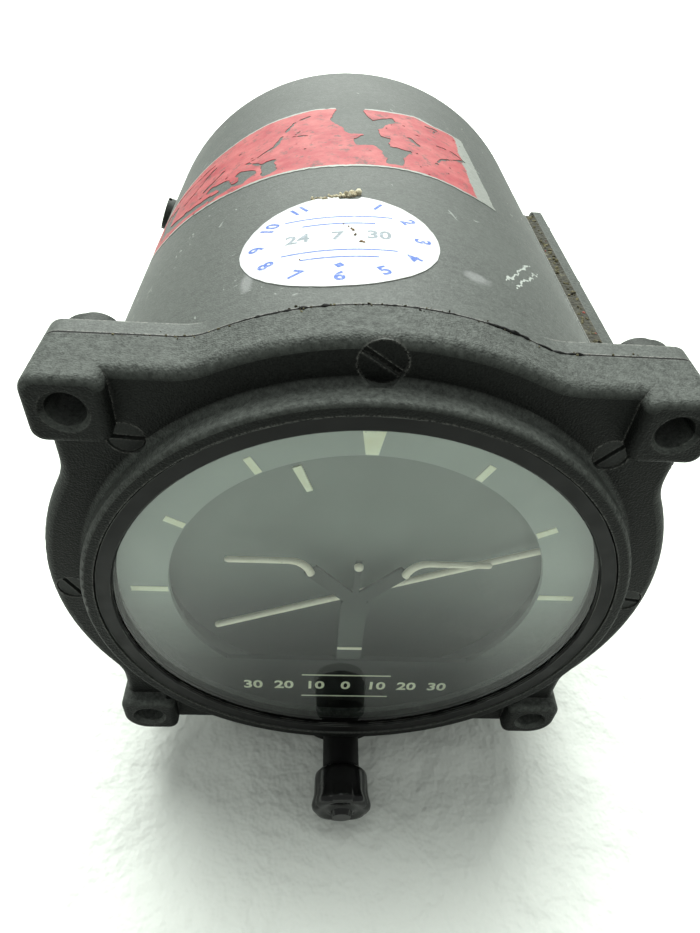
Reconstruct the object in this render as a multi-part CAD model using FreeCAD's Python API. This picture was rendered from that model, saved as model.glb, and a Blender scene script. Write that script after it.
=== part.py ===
import FreeCAD, Part
import math
import os

from FreeCAD import Vector

# A panel mounted attitude gyro of the 3 1/8 inch size, in millimetres.
# The dial faces -Y, +Z is up, and the origin is the middle of the four lug holes on the panel plane.
# The gimbals stand rolled, as the photograph shows them, and every inner piece is built level and then rolled.

# Clearances and edges that many pieces share
running_fit = 0.03
fine_chamfer = 0.3
overcut = 1.0
same_place = 1e-4

# Panel lugs and flange
lug_spacing = 62.865
lug_width = 8.4
lug_corner = 1.6
lug_upper_outer_corner = 2.2
lug_lower_outer_corner = 3.8
lug_front_round = 0.9
lug_step = 2.0
lug_bore_radius = 2.1
lug_chamfer = 0.5
waist_inset = 0.93
waist_blend = 2.0
neck_blend = 8.0
collar_root_round = 0.8
flange_edge_round = 1.3
front_thickness = 6.0
flange_gasket_thickness = 0.3
case_flange_thickness = 2.4
nut_radius = 3.85
nut_case_gap = 0.1
nut_height = 3.6
nut_chamfer = 0.4
nut_collar_radius = 3.0
nut_collar_height = 1.3
nut_thread_radius = 1.6

# Dial window
face_land = 5.2
collar_wall = 1.7
collar_height = 3.4
collar_crest_round = 0.6
glass_setback = 0.7
glass_thickness = 1.7
glass_clearance = 0.2
glass_chamfer = 0.25
glass_gasket_thickness = 0.3
retainer_width = 2.2
retainer_wire = 0.5
retainer_chamfer = 0.2
ledge_margin = 0.2
window_ledge = 1.75

# Dial mask and its marks
cavity_land = 6.1
mask_thickness = 0.8
mask_clearance = 0.2
mask_width = 9.15
mask_chord_rise = 8.05
clip_width = 1.4
clip_thickness = 0.7
clip_gap_margin = 2.65
mark_height = 0.1
mark_inset = 0.15
mark_short = 2.6
mark_long = 4.9
mark_top_length = 3.4
mark_width = 0.95
mark_top_outer_width = 2.6
mark_top_inner_width = 1.45
mark_spacing_degrees = 30

# Face screws and dry air plug
face_circle_inset = 2.9
face_screw_head_radius = 1.95
face_screw_head_height = 1.2
face_screw_shank_radius = 1.4
face_screw_recess = 0.2
face_screw_seat_gap = 0.15
face_screw_end_gap = 0.3
face_screw_places_degrees = (-135, -90, -45, 45, 90, 135)
face_screw_slot_degrees = (20, 62, 4, -48, 8, 75)
slot_width = 0.6
slot_depth = 0.6
plug_radius = 2.6
plug_length = 2.0
plug_depth = 4.0
plug_slot_width = 0.8
plug_slot_degrees = 35
plug_port_radius = 0.8
plug_port_setback = 1.0

# Setting knob
knob_axis_inset = 2.1
lobe_radius = 6.5
lobe_blend = 2.5
bush_radius = 3.0
bush_reach = 7.4
bush_wall_seat = 1.6
knob_shaft_radius = 1.6
knob_gap = 0.3
knob_back_radius = 3.95
knob_front_radius = 4.75
knob_length = 6.3
knob_skirt = 1.6
knob_round = 1.0
knob_tip_radius = 1.5
knob_tip_height = 0.9
knob_tip_round = 0.4
knob_bore_depth = 4.4
knob_flutes = 8
knob_flute_radius = 0.9
knob_flute_outset = 0.35
knob_flute_end = 0.1
set_screw_radius = 0.8
set_screw_length = 2.0
set_screw_station = 2.4
set_screw_slot_width = 0.3
set_screw_slot_depth = 0.5
crank_radius = 2.2
crank_gap = 0.1
crank_disc_radius = 3.1
crank_disc_thickness = 0.8
crank_pin_radius = 0.6
crank_pin_length = 1.4
crank_pin_play = 0.15
crank_swing_degrees = 45.0
pocket_clearance = 0.3
pocket_overlap = 1.5

# Miniature airplane
post_half_width = 1.85
post_thickness = 0.4
post_play = 0.05
post_side_play = 0.25
post_end_play = 0.1
post_top_drop = 2.6
jog_clearance = 0.4
wing_rod_radius = 0.42
wing_tip_reach = 17.0
wing_bend_reach = 8.3
wing_root_reach = 6.4
wing_height = 6.6
wing_root_height = 4.2
bracket_width = 2.2
dot_radius = 0.62
dot_round = 0.37
dot_height = 5.9
dot_stem_width = 0.9
index_line_rise = 2.9
index_line_width = 0.55
foot_thickness = 0.5
foot_gap = 0.3
foot_margin = 0.8

# Case
case_wall = 2.0
case_depth = 103.5
rear_wall = 3.0
rear_round = 3.5
shoulder_width = 4.0
shoulder_thickness = 3.0
case_flange_land = 5.2

# Side opening and its cover
side_flat_inset = 1.7
side_half_height = 16.5
side_front_gap = 3.3
side_rear_inset = 9.9
side_window_rear_gap = 2.0
side_gasket_thickness = 2.1
side_gasket_overhang = 2.2
side_cover_thickness = 2.1
side_cover_overhang = 2.2
side_border = 6.2
side_corner = 3.0
side_screw_head_radius = 1.9
side_screw_head_height = 1.1
side_screw_shank_radius = 1.1
side_screw_grip = 1.8
side_screws_per_row = 4

# Left side plug
left_plug_radius = 3.3
left_plug_height = 1.5
left_plug_seat = 0.15
left_plug_slot_width = 1.0
left_plug_slot_depth = 0.7
left_plug_thread_radius = 2.4
left_plug_degrees = -71.0
left_plug_inset = 12.7

# Rear plate and connector
rear_plate_radius = 25.0
rear_plate_thickness = 2.0
rear_plate_proud = 0.5
rear_plate_clearance = 0.15
rear_plate_land = 6.0
rear_screw_inset = 2.8
rear_screw_count = 6
rear_screw_head_radius = 1.8
rear_screw_head_height = 1.0
rear_screw_shank_radius = 1.0
rear_screw_grip = 1.4
connector_flange = 24.0
connector_flange_thickness = 1.8
connector_corner = 2.5
connector_barrel_radius = 9.6
connector_barrel_wall = 1.2
connector_end_chamfer = 0.4
connector_reach = 11.0
connector_insert_recess = 3.4
connector_insert_tail = 1.0
connector_pin_radius = 0.6
connector_pin_reach = 2.6
connector_pin_root = 4.0
connector_pin_circle = 4.8
connector_pin_count = 6
connector_screw_inset = 2.8
connector_screw_head_radius = 1.7
connector_screw_head_height = 1.0
connector_screw_shank_radius = 1.0
connector_screw_grip = 1.6

# Bulkhead and roll bearings
bulkhead_inset = 24.0
bulkhead_thickness = 3.0
bulkhead_fit = 0.1
bulkhead_screw_inset = 2.1
bulkhead_screw_count = 6
bulkhead_screw_head_radius = 1.6
bulkhead_screw_head_height = 0.9
bulkhead_screw_shank_radius = 0.9
bulkhead_screw_grip = 2.4
bulkhead_hole_inset = 11.0
bulkhead_hole_radius = 4.6
bulkhead_hole_count = 6
hub_outer_radius = 11.0
hub_forward = 6.8
hub_length = 19.4
hub_lip = 0.7
rib_count = 6
rib_thickness = 1.8
rib_height = 3.5
rib_end_gap = 1.0
roll_shaft_radius = 4.0
roll_shaft_wall = 1.4
roll_shaft_bore_start = 4.0
roll_shaft_end_gap = 0.6
roll_flange_gap = 2.0
roll_flange_thickness = 1.2
roll_bearing_outer = 8.0
roll_bearing_width = 5.0
bearing_end_gap = 0.3
bearing_race = 1.2
bearing_relief = 0.5

# Roll gimbal
roll_at_rest_degrees = 22.8
gimbal_case_gap = 12.3
gimbal_arm_thickness = 4.0
gimbal_front_thickness = 2.4
gimbal_rear_gap = 8.4
gimbal_rear_thickness = 4.0
gimbal_half_height = 5.0
gimbal_rear_half_height = 7.0
gimbal_corner = 3.0
pitch_boss_radius = 9.0
pitch_limit_degrees = 50.0
drive_pin_offset = 5.0
drive_pin_radius = 0.75
drive_pin_proud = 0.3
drive_slot_play = 0.3
arc_slot_extra_degrees = 14.0
arc_slot_reach = 20.0
trunnion_radius = 1.25
trunnion_end_gap = 0.3
pitch_bearing_outer = 3.0
pitch_bearing_width = 3.0
balance_weight_radius = 4.2
balance_weight_thickness = 3.2
balance_weight_chamfer = 0.4

# Sky plate and bank pointer
dial_gap = 2.6
sky_plate_thickness = 0.8
sky_plate_overlap = 1.25
sky_plate_round = 0.3
sky_hub_radius = 8.0
sky_hub_height = 0.4
sky_screw_circle = 5.5
sky_screw_radius = 0.9
sky_screw_length = 2.6
sky_screw_count = 3
pointer_inset = 3.35
pointer_length = 4.3
pointer_width = 1.15
pointer_inner_width = 0.8
pointer_thickness = 0.3

# Horizon bar and arm
bar_gap = 0.75
bar_radius = 0.45
bar_drop = 1.93
bar_end_inset = 3.1
arm_gap = 1.0
arm_thickness = 1.0
arm_pivot_inset = 11.6
arm_half_height = 2.4
arm_tip_half_height = 1.0
arm_swell_half_height = 3.2
arm_swell_front = 3.5
arm_swell_rear = 4.5
arm_swell_run = 3.5
arm_tail = 9.5
arm_pivot_radius = 1.0
arm_pivot_head_radius = 1.9
arm_pivot_head_height = 0.7
arm_shake = 0.15
counterweight_radius = 3.4
counterweight_width = 2.4

# Rotor housing
housing_side_gap = 2.2
housing_half_height = 17.0
housing_wall = 1.5
housing_corner = 2.0
housing_inner_corner = 1.6
housing_split = 9.0
housing_flange = 1.2
housing_flange_height = 1.6
housing_screw_count = 6
housing_screw_radius = 0.6
housing_screw_head_radius = 1.1
housing_screw_head_height = 0.6
housing_screw_length = 2.4
trunnion_pad_radius = 6.6
trunnion_pad_gap = 1.6
trunnion_pad_root = 0.3
trunnion_plate_thickness = 1.0
spin_bearing_outer = 5.0
spin_bearing_width = 4.0
spin_boss_radius = 7.0
spin_boss_floor = 0.8
spin_shaft_radius = 1.5
spin_shaft_room = 0.4
spin_shaft_end_gap = 0.2
stator_stem_share = 0.395
stator_air = 0.8
stator_low_drop = 3.5
stator_top_inset = 1.0

# Gyro wheel
wheel_side_gap = 1.1
wheel_end_gap = 8.0
wheel_rim_share = 0.7
wheel_corner = 1.0
wheel_web = 4.0
wheel_web_step = 0.8
wheel_web_gap = 0.7
wheel_hub_radius = 3.6
wheel_hub_blend = 1.0

# Pick-offs, slip rings and brushes
winding_slot_count = 12
winding_slot_width = 1.6
winding_slot_depth = 2.4
winding_back = 1.2
motor_slot_radius = 0.9
roll_rotor_inner = 12.0
roll_rotor_outer = 15.4
roll_rotor_width = 5.6
roll_stator_inner = 16.0
roll_stator_outer = 22.0
roll_stator_width = 5.6
pitch_rotor_radius = 3.6
pitch_rotor_end_gap = 0.3
pitch_stator_inner = 4.2
pitch_stator_outer = 8.0
pitch_stator_width = 3.8
slip_ring_radius = 6.0
slip_ring_groove = 0.5
slip_ring_count = 4
slip_ring_gap = 0.4
slip_ring_pitch = 1.5
slip_ring_land = 0.3
brush_block_rise = 3.0
brush_block_thickness = 4.0
brush_block_half_width = 4.0
brush_block_lap = 1.0
brush_foot_gap = 0.4
brush_foot_rise = 1.6
brush_radius = 0.3
brush_depth = 2.0
brush_air = 0.05

# Places that follow from the sizes above
lug_centre = lug_spacing / 2.0
flange_radius = math.hypot(lug_centre, lug_centre) - nut_radius - nut_case_gap
lug_reach = lug_centre + lug_width / 2.0
waist_half_width = lug_reach - waist_inset
face_y = lug_step
seam_y = face_y + front_thickness
case_flange_front = seam_y + flange_gasket_thickness
case_flange_back = case_flange_front + case_flange_thickness
case_inner_radius = flange_radius - case_wall
collar_front = face_y - collar_height
collar_outer_radius = flange_radius - face_land
collar_inner_radius = collar_outer_radius - collar_wall
window_radius = collar_inner_radius - retainer_width
ledge_radius = window_radius + ledge_margin
glass_radius = collar_inner_radius - glass_clearance
glass_front = collar_front + glass_setback
glass_back = glass_front + glass_thickness
ledge_front = glass_back + glass_gasket_thickness
cavity_radius = flange_radius - cavity_land
mask_front = ledge_front + window_ledge
mask_back = mask_front + mask_thickness
mask_outer_radius = cavity_radius - mask_clearance
mask_opening_radius = mask_outer_radius - mask_width
mask_chord_drop = mask_opening_radius - mask_chord_rise
index_line_drop = mask_chord_drop - index_line_rise
face_circle_radius = flange_radius - face_circle_inset
face_screw_face = face_y + face_screw_recess
post_front = mask_back - post_play - post_thickness
post_back = post_front + post_thickness
post_groove_half = post_half_width + post_side_play
knob_axis_drop = flange_radius - knob_axis_inset
bush_front = face_y - bush_reach
bush_inner_end = face_y + bush_wall_seat
knob_back = bush_front - knob_gap
knob_front = knob_back - knob_length
set_screw_y = knob_back - set_screw_station
crank_disc_front = bush_inner_end + crank_gap
crank_disc_back = crank_disc_front + crank_disc_thickness
crank_travel = crank_radius * math.sin(math.radians(crank_swing_degrees))
foot_front = crank_disc_back + foot_gap
foot_back = foot_front + foot_thickness
post_jog_drop = knob_axis_drop - crank_disc_radius - crank_travel - jog_clearance
foot_side = crank_radius + crank_pin_radius + 2.0 * crank_pin_play + foot_margin
foot_drop = knob_axis_drop + crank_pin_radius + crank_pin_play + foot_margin
pocket_bottom = foot_drop + crank_travel + pocket_clearance
pocket_top = cavity_radius - pocket_overlap
side_flat = flange_radius - side_flat_inset
side_front = case_flange_back + side_front_gap
side_boss_end = case_depth - side_rear_inset
side_gasket_end = side_boss_end + side_gasket_overhang
side_cover_end = side_gasket_end + side_cover_overhang
side_cover_inner = side_flat + side_gasket_thickness
side_cover_outer = side_cover_inner + side_cover_thickness
side_window_half = side_half_height - side_border
left_plug_station = case_depth - left_plug_inset
left_plug_top = flange_radius + left_plug_height
rear_plate_back = case_depth + rear_plate_proud
rear_plate_front = rear_plate_back - rear_plate_thickness
rear_opening_radius = rear_plate_radius - rear_plate_land
rear_screw_circle = rear_plate_radius - rear_screw_inset
connector_inner_radius = connector_barrel_radius - connector_barrel_wall
connector_flange_back = rear_plate_back + connector_flange_thickness
connector_end = rear_plate_back + connector_reach
connector_insert_face = connector_end - connector_insert_recess
connector_screw_half = connector_flange / 2.0 - connector_screw_inset
bulkhead_front = case_depth - bulkhead_inset
bulkhead_back = bulkhead_front + bulkhead_thickness
bulkhead_screw_circle = case_inner_radius - bulkhead_screw_inset
bulkhead_hole_circle = case_inner_radius - bulkhead_hole_inset
side_window_end = bulkhead_front - side_window_rear_gap
hub_front = bulkhead_front - hub_forward
hub_end = hub_front + hub_length
roll_bearing_fronts = (hub_front + bearing_end_gap, hub_end - bearing_end_gap - roll_bearing_width)
slip_ring_start = hub_end + slip_ring_gap
slip_ring_end = slip_ring_start + slip_ring_pitch * slip_ring_count
brush_block_low = slip_ring_radius + brush_block_rise
roll_shaft_end = slip_ring_end + roll_shaft_end_gap
sky_plate_front = mask_back + dial_gap
sky_plate_back = sky_plate_front + sky_plate_thickness
sky_plate_radius = mask_opening_radius + sky_plate_overlap
pointer_outer = mask_opening_radius - pointer_inset
pointer_inner = pointer_outer - pointer_length
gimbal_half_width = case_inner_radius - gimbal_case_gap
gimbal_inner = gimbal_half_width - gimbal_arm_thickness
gimbal_front = sky_plate_back + sky_hub_height
gimbal_rear = bulkhead_front - gimbal_rear_gap
gimbal_window_front = gimbal_front + gimbal_front_thickness
gimbal_window_rear = gimbal_rear - gimbal_rear_thickness
pitch_station = (gimbal_window_front + gimbal_window_rear) / 2.0
bar_station = mask_back + bar_gap
bar_free_reach = mask_opening_radius - bar_end_inset
arm_inner = gimbal_half_width + arm_gap
arm_outer = arm_inner + arm_thickness
arm_pivot_station = gimbal_rear - arm_pivot_inset
arm_slot_station = pitch_station - drive_pin_offset
housing_radius = gimbal_inner - housing_side_gap
housing_inner_radius = housing_radius - housing_wall
trunnion_pad_reach = gimbal_inner - trunnion_pad_gap
trunnion_plate_face = trunnion_pad_reach + trunnion_plate_thickness
spin_pocket_start = housing_half_height - housing_wall - spin_bearing_width
spin_boss_face = spin_pocket_start - spin_boss_floor
wheel_radius = housing_inner_radius - wheel_side_gap
wheel_rim_inner = wheel_radius * wheel_rim_share
wheel_half_height = housing_half_height - wheel_end_gap
stator_radius = wheel_rim_inner - stator_air
stator_stem_radius = stator_radius * stator_stem_share
stator_low = -stator_low_drop
stator_high = wheel_half_height - stator_top_inset

ORIGIN = Vector(0, 0, 0)
X = Vector(1, 0, 0)
Y = Vector(0, 1, 0)
Z = Vector(0, 0, 1)
BOTH_SIDES = (-1, 1)


def save(name, shape):
    """One sub-part, one file."""
    shape.exportStep(os.path.join("parts", name + ".step"))


def save_rolled(name, shape):
    """A piece of the gimbals, turned from level to the roll that it rests at."""
    rolled = shape.copy()
    rolled.rotate(ORIGIN, Y, -roll_at_rest_degrees)
    save(name, rolled)


def fuse_all(shapes):
    return shapes[0].fuse(shapes[1:]).removeSplitter()


def cut_all(shape, cuts):
    return shape.cut(Part.makeCompound(cuts)).removeSplitter()


def box(x0, x1, y0, y1, z0, z1):
    return Part.makeBox(x1 - x0, y1 - y0, z1 - z0, Vector(x0, y0, z0))


def disc(radius, y0, y1, x=0.0, z=0.0):
    """A round bar along Y."""
    return Part.makeCylinder(radius, y1 - y0, Vector(x, y0, z), Y)


def ring(inner, outer, y0, y1, x=0.0, z=0.0):
    return disc(outer, y0, y1, x, z).cut(disc(inner, y0, y1, x, z))


def bar_x(radius, x0, x1, y, z):
    """A round bar along X."""
    return Part.makeCylinder(radius, x1 - x0, Vector(x0, y, z), X)


def tube_x(inner, outer, x0, x1, y, z):
    return bar_x(outer, x0, x1, y, z).cut(bar_x(inner, x0, x1, y, z))


def bar_z(radius, z0, z1, x, y):
    """A round bar along Z."""
    return Part.makeCylinder(radius, z1 - z0, Vector(x, y, z0), Z)


def span(side, near, far):
    """Low and high x or z of a stretch from near to far on one side of the middle."""
    return min(side * near, side * far), max(side * near, side * far)


def turned_y(points):
    """A solid turned about the Y axis, from points of radius and station."""
    corners = [Vector(radius, y, 0) for radius, y in points]
    corners.append(corners[0])
    return Part.Face(Part.makePolygon(corners)).revolve(ORIGIN, Y, 360)


def turned_z(points, y):
    """A solid turned about an upright axis at station y, from points of radius and height."""
    corners = [Vector(radius, y, z) for radius, z in points]
    corners.append(corners[0])
    return Part.Face(Part.makePolygon(corners)).revolve(Vector(0, y, 0), Z, 360)


def plate_y(points, y0, y1):
    """A flat plate across Y, from points of x and z."""
    corners = [Vector(x, y0, z) for x, z in points]
    corners.append(corners[0])
    return Part.Face(Part.makePolygon(corners)).extrude(Vector(0, y1 - y0, 0))


def plate_x(points, x0, x1):
    """A flat plate across X, from points of y and z."""
    corners = [Vector(x0, y, z) for y, z in points]
    corners.append(corners[0])
    return Part.Face(Part.makePolygon(corners)).extrude(Vector(x1 - x0, 0, 0))


def turned_about_y(shape, degrees):
    """A copy turned about the Y axis, clockwise as the dial is seen."""
    copy = shape.copy()
    copy.rotate(ORIGIN, Y, degrees)
    return copy


def edges_along(shape, axis):
    """Straight edges that run along an axis."""
    found = []
    for edge in shape.Edges:
        if isinstance(edge.Curve, Part.Line) and abs(edge.Curve.Direction.dot(axis)) > 1.0 - same_place:
            found.append(edge)
    return found


def edges_at_station(shape, y):
    """Edges that lie whole in the plane of station y."""
    found = []
    for edge in shape.Edges:
        bounds = edge.BoundBox
        if abs(bounds.YMin - y) < same_place and abs(bounds.YMax - y) < same_place:
            found.append(edge)
    return found


def edges_at_side(shape, x):
    """Edges that lie whole in the plane of one x."""
    found = []
    for edge in shape.Edges:
        bounds = edge.BoundBox
        if abs(bounds.XMin - x) < same_place and abs(bounds.XMax - x) < same_place:
            found.append(edge)
    return found


def rounded_plate_x(x0, x1, y0, y1, z0, z1, corner):
    plate = box(x0, x1, y0, y1, z0, z1)
    return plate.makeFillet(corner, edges_along(plate, X))


def screw_y(x, z, head_face, head_radius, head_height, shank_radius, length, facing):
    """A screw along Y. Facing is -1 for a head that faces the dial side and +1 for the rear."""
    under_head = head_face - facing * head_height
    far_end = under_head - facing * length
    head = disc(head_radius, min(head_face, under_head), max(head_face, under_head), x, z)
    shank = disc(shank_radius, min(under_head, far_end), max(under_head, far_end), x, z)
    return head.fuse(shank).removeSplitter()


def slot_y(x, z, head_face, head_radius, width, depth, degrees):
    """The driver slot of a screw whose head faces the dial side."""
    reach = head_radius + overcut
    cut = box(-reach, reach, head_face, head_face + depth, -width / 2.0, width / 2.0)
    cut.rotate(ORIGIN, Y, degrees)
    cut.translate(Vector(x, 0, z))
    return cut


def on_circle(radius, degrees):
    """The x and z of a place on a circle about the dial's middle, from the top towards +X."""
    angle = math.radians(degrees)
    return radius * math.sin(angle), radius * math.cos(angle)


def even_places(radius, count, first_share=0.0):
    """Places spaced evenly on a circle. The first share is the part of one step that they start at."""
    return [on_circle(radius, 360.0 * (index + first_share) / count) for index in range(count)]


# Front casting

def lug_places():
    return [(side * lug_centre, level * lug_centre) for side in BOTH_SIDES for level in BOTH_SIDES]


def lug_block(x, z, y0, y1):
    """A square lug about one bolt hole, with its outer corner rounded wider than the others."""
    half = lug_width / 2.0
    block = box(x - half, x + half, y0, y1, z - half, z + half)
    outer = [edge for edge in edges_along(block, Y) if math.hypot(edge.CenterOfMass.x, edge.CenterOfMass.z)
             > math.hypot(lug_reach, lug_reach) - same_place]
    block = block.makeFillet(lug_upper_outer_corner if z > 0 else lug_lower_outer_corner, outer)
    sharp = [edge for edge in edges_along(block, Y) if math.hypot(edge.CenterOfMass.x - x, edge.CenterOfMass.z - z)
             > math.hypot(half, half) - same_place]
    return block.makeFillet(lug_corner, sharp)


def front_lug(x, z):
    block = lug_block(x, z, 0.0, seam_y)
    return block.makeFillet(lug_front_round, edges_at_station(block, 0.0))


def is_round_edge(edge, radius):
    """Whether an edge is an arc or circle of this radius about the dial's middle."""
    return isinstance(edge.Curve, Part.Circle) and abs(edge.Curve.Radius - radius) < same_place


def lug_bores(y0, y1):
    return [disc(lug_bore_radius, y0, y1, x, z) for x, z in lug_places()]


def flange_outline(y0, y1):
    """The round flange with its necks, its four lugs and the lobe under the setting knob."""
    necks = box(-lug_centre, lug_centre, y0, y1, -lug_reach, lug_reach)
    waist = box(-waist_half_width, waist_half_width, y0, y1, -lug_centre, lug_centre)
    body = fuse_all([disc(flange_radius, y0, y1), necks, waist])
    inner_corners = []
    for edge in edges_along(body, Y):
        if math.hypot(edge.CenterOfMass.x, edge.CenterOfMass.z) < flange_radius + same_place:
            inner_corners.append(edge)
    body = body.makeFillet(neck_blend, inner_corners)
    body = fuse_all([body] + [lug_block(x, z, y0, y1) for x, z in lug_places()])
    waist_corners = []
    for edge in edges_along(body, Y):
        at_waist = abs(abs(edge.CenterOfMass.x) - waist_half_width) < same_place
        if at_waist and abs(edge.CenterOfMass.z) > lug_centre - lug_width / 2.0:
            waist_corners.append(edge)
    body = body.makeFillet(waist_blend, waist_corners)
    body = body.fuse(disc(lobe_radius, y0, y1, 0, -knob_axis_drop)).removeSplitter()
    lobe_corners = [edge for edge in edges_along(body, Y) if abs(edge.CenterOfMass.x) < lobe_radius + overcut]
    return body.makeFillet(lobe_blend, lobe_corners)


def face_screw_places():
    return [on_circle(face_circle_radius, degrees) for degrees in face_screw_places_degrees]


def make_face_screws():
    """Six slotted screws that hold the front casting, with the slots as they were left."""
    length = case_flange_back - face_screw_end_gap - face_screw_face - face_screw_head_height
    screws = []
    for (x, z), turn in zip(face_screw_places(), face_screw_slot_degrees):
        screw = screw_y(x, z, face_screw_face, face_screw_head_radius, face_screw_head_height,
                        face_screw_shank_radius, length, -1)
        slot = slot_y(x, z, face_screw_face, face_screw_head_radius, slot_width, slot_depth, turn)
        screws.append(screw.cut(slot))
    return Part.makeCompound(screws)


def face_screw_holes(y0, y1):
    return [disc(face_screw_shank_radius, y0, y1, x, z) for x, z in face_screw_places()]


def face_screw_seats():
    """Counterbores a little wider than the heads, which show as dark rings."""
    radius = face_screw_head_radius + face_screw_seat_gap
    bottom = face_screw_face + face_screw_head_height
    return [disc(radius, face_y - overcut, bottom, x, z) for x, z in face_screw_places()]


def knob_pocket():
    """The round pocket for the crank, the room for the foot, and the groove that the airplane's post runs down."""
    crank_room = disc(crank_disc_radius + pocket_clearance, bush_inner_end, seam_y + overcut, 0, -knob_axis_drop)
    foot_room = box(-post_groove_half, foot_side + pocket_clearance, bush_inner_end, seam_y + overcut,
                    -pocket_bottom, -pocket_top)
    groove_low = post_jog_drop + crank_travel + post_end_play
    groove = box(-post_groove_half, post_groove_half, mask_front, seam_y, -groove_low, -pocket_top)
    return [crank_room, foot_room, groove]


def make_front_casting():
    body = flange_outline(face_y, seam_y)
    body = body.makeFillet(flange_edge_round, edges_at_station(body, face_y))
    body = fuse_all([body] + [front_lug(x, z) for x, z in lug_places()])
    collar = disc(collar_outer_radius, collar_front, mask_front)
    collar = collar.makeFillet(collar_crest_round, edges_at_station(collar, collar_front))
    body = body.fuse(collar).removeSplitter()
    collar_root = [edge for edge in edges_at_station(body, face_y) if is_round_edge(edge, collar_outer_radius)]
    body = body.makeFillet(collar_root_round, collar_root)
    cuts = [disc(collar_inner_radius, collar_front - overcut, ledge_front)]
    cuts.append(disc(ledge_radius, ledge_front - overcut, mask_front + overcut))
    cuts.append(disc(cavity_radius, mask_front, seam_y + overcut))
    cuts += lug_bores(-overcut, seam_y + overcut)
    for x, z in lug_places():
        cuts.append(Part.makeCone(lug_bore_radius + lug_chamfer, lug_bore_radius, lug_chamfer, Vector(x, 0, z), Y))
    cuts += face_screw_seats()
    cuts += face_screw_holes(face_y, seam_y + overcut)
    cuts.append(disc(plug_radius, face_y - overcut, face_y + plug_depth, 0, face_circle_radius))
    port_y = face_y + plug_depth - plug_port_setback
    cuts.append(bar_z(plug_port_radius, cavity_radius - overcut, face_circle_radius, 0, port_y))
    cuts.append(disc(bush_radius, face_y - overcut, seam_y + overcut, 0, -knob_axis_drop))
    cuts += knob_pocket()
    return cut_all(body, cuts)


def make_face_plug():
    """The large slotted plug of the dry air port, above the window."""
    body = disc(plug_radius, face_screw_face, face_screw_face + plug_length, 0, face_circle_radius)
    slot = slot_y(0, face_circle_radius, face_screw_face, plug_radius, plug_slot_width, slot_depth, plug_slot_degrees)
    return body.cut(slot)


# Window and dial

def make_cover_glass():
    glass = disc(glass_radius, glass_front, glass_back)
    return glass.makeChamfer(glass_chamfer, edges_at_station(glass, glass_front))


def make_glass_gasket():
    return ring(ledge_radius, glass_radius, glass_back, ledge_front)


def make_glass_retainer():
    """The thin dark ring that holds the glass in."""
    front = glass_front - retainer_wire
    retainer = ring(window_radius, collar_inner_radius, front, glass_front)
    return retainer.makeChamfer(retainer_chamfer, edges_at_station(retainer, front))


def make_dial_mask():
    """The fixed dial ring, with a flat across the bottom of its opening and a groove for the post."""
    mask = disc(mask_outer_radius, mask_front, mask_back)
    reach = mask_opening_radius + overcut
    opening = disc(mask_opening_radius, mask_front - overcut, mask_back + overcut)
    above_chord = box(-reach, reach, mask_front - overcut, mask_back + overcut, -mask_chord_drop, reach)
    groove = box(-post_groove_half, post_groove_half, post_front - post_play, mask_back + overcut,
                 -mask_outer_radius - overcut, 0)
    return cut_all(mask, [opening.common(above_chord), groove])


def make_mask_clip():
    """An open spring ring behind the dial mask."""
    gap_half = post_half_width + clip_gap_margin
    clip = ring(cavity_radius - clip_width, cavity_radius, mask_back, mask_back + clip_thickness)
    gap = box(-gap_half, gap_half, mask_back - overcut, mask_back + clip_thickness + overcut,
              -cavity_radius - overcut, 0)
    return clip.cut(gap)


def mark_plate(inner, outer, inner_width, outer_width):
    half_in = inner_width / 2.0
    half_out = outer_width / 2.0
    corners = [(-half_in, inner), (half_in, inner), (half_out, outer), (-half_out, outer)]
    return plate_y(corners, mask_front - mark_height, mask_front)


def make_bank_marks():
    """Seven cream marks of the bank scale over the upper half. The two outermost are long."""
    inner = mask_opening_radius + mark_inset
    marks = [mark_plate(inner, inner + mark_top_length, mark_top_inner_width, mark_top_outer_width)]
    for step, length in enumerate((mark_short, mark_short, mark_long), start=1):
        for side in BOTH_SIDES:
            mark = mark_plate(inner, inner + length, mark_width, mark_width)
            marks.append(turned_about_y(mark, side * step * mark_spacing_degrees))
    return Part.makeCompound(marks)


# Setting knob

def make_knob_bush():
    bush = disc(bush_radius, bush_front, bush_inner_end, 0, -knob_axis_drop)
    bush = bush.makeChamfer(fine_chamfer, edges_at_station(bush, bush_front))
    bore_radius = knob_shaft_radius + running_fit
    return bush.cut(disc(bore_radius, bush_front - overcut, bush_inner_end + overcut, 0, -knob_axis_drop))


def make_knob():
    """A small flared knob with a fluted skirt and a raised tip."""
    profile = [(0.0, knob_back), (knob_back_radius, knob_back), (knob_back_radius, knob_back - knob_skirt),
               (knob_front_radius, knob_front + knob_skirt), (knob_front_radius, knob_front), (0.0, knob_front)]
    body = turned_y(profile)
    body = body.makeFillet(knob_round, edges_at_station(body, knob_front))
    tip_front = knob_front - knob_tip_height
    tip = disc(knob_tip_radius, tip_front, knob_front)
    tip = tip.makeFillet(knob_tip_round, edges_at_station(tip, tip_front))
    body = body.fuse(tip)
    flute_end = knob_back - knob_skirt - knob_flute_end
    flutes = []
    for x, z in even_places(knob_front_radius + knob_flute_outset, knob_flutes):
        flutes.append(disc(knob_flute_radius, knob_front - overcut, flute_end, x, z))
    body = body.cut(Part.makeCompound(flutes))
    body.translate(Vector(0, 0, -knob_axis_drop))
    bore = disc(knob_shaft_radius, knob_back - knob_bore_depth, knob_back + overcut, 0, -knob_axis_drop)
    screw_hole = bar_z(set_screw_radius, -knob_axis_drop, -knob_axis_drop + knob_front_radius + overcut, 0, set_screw_y)
    return body.cut(bore).cut(screw_hole)


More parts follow.
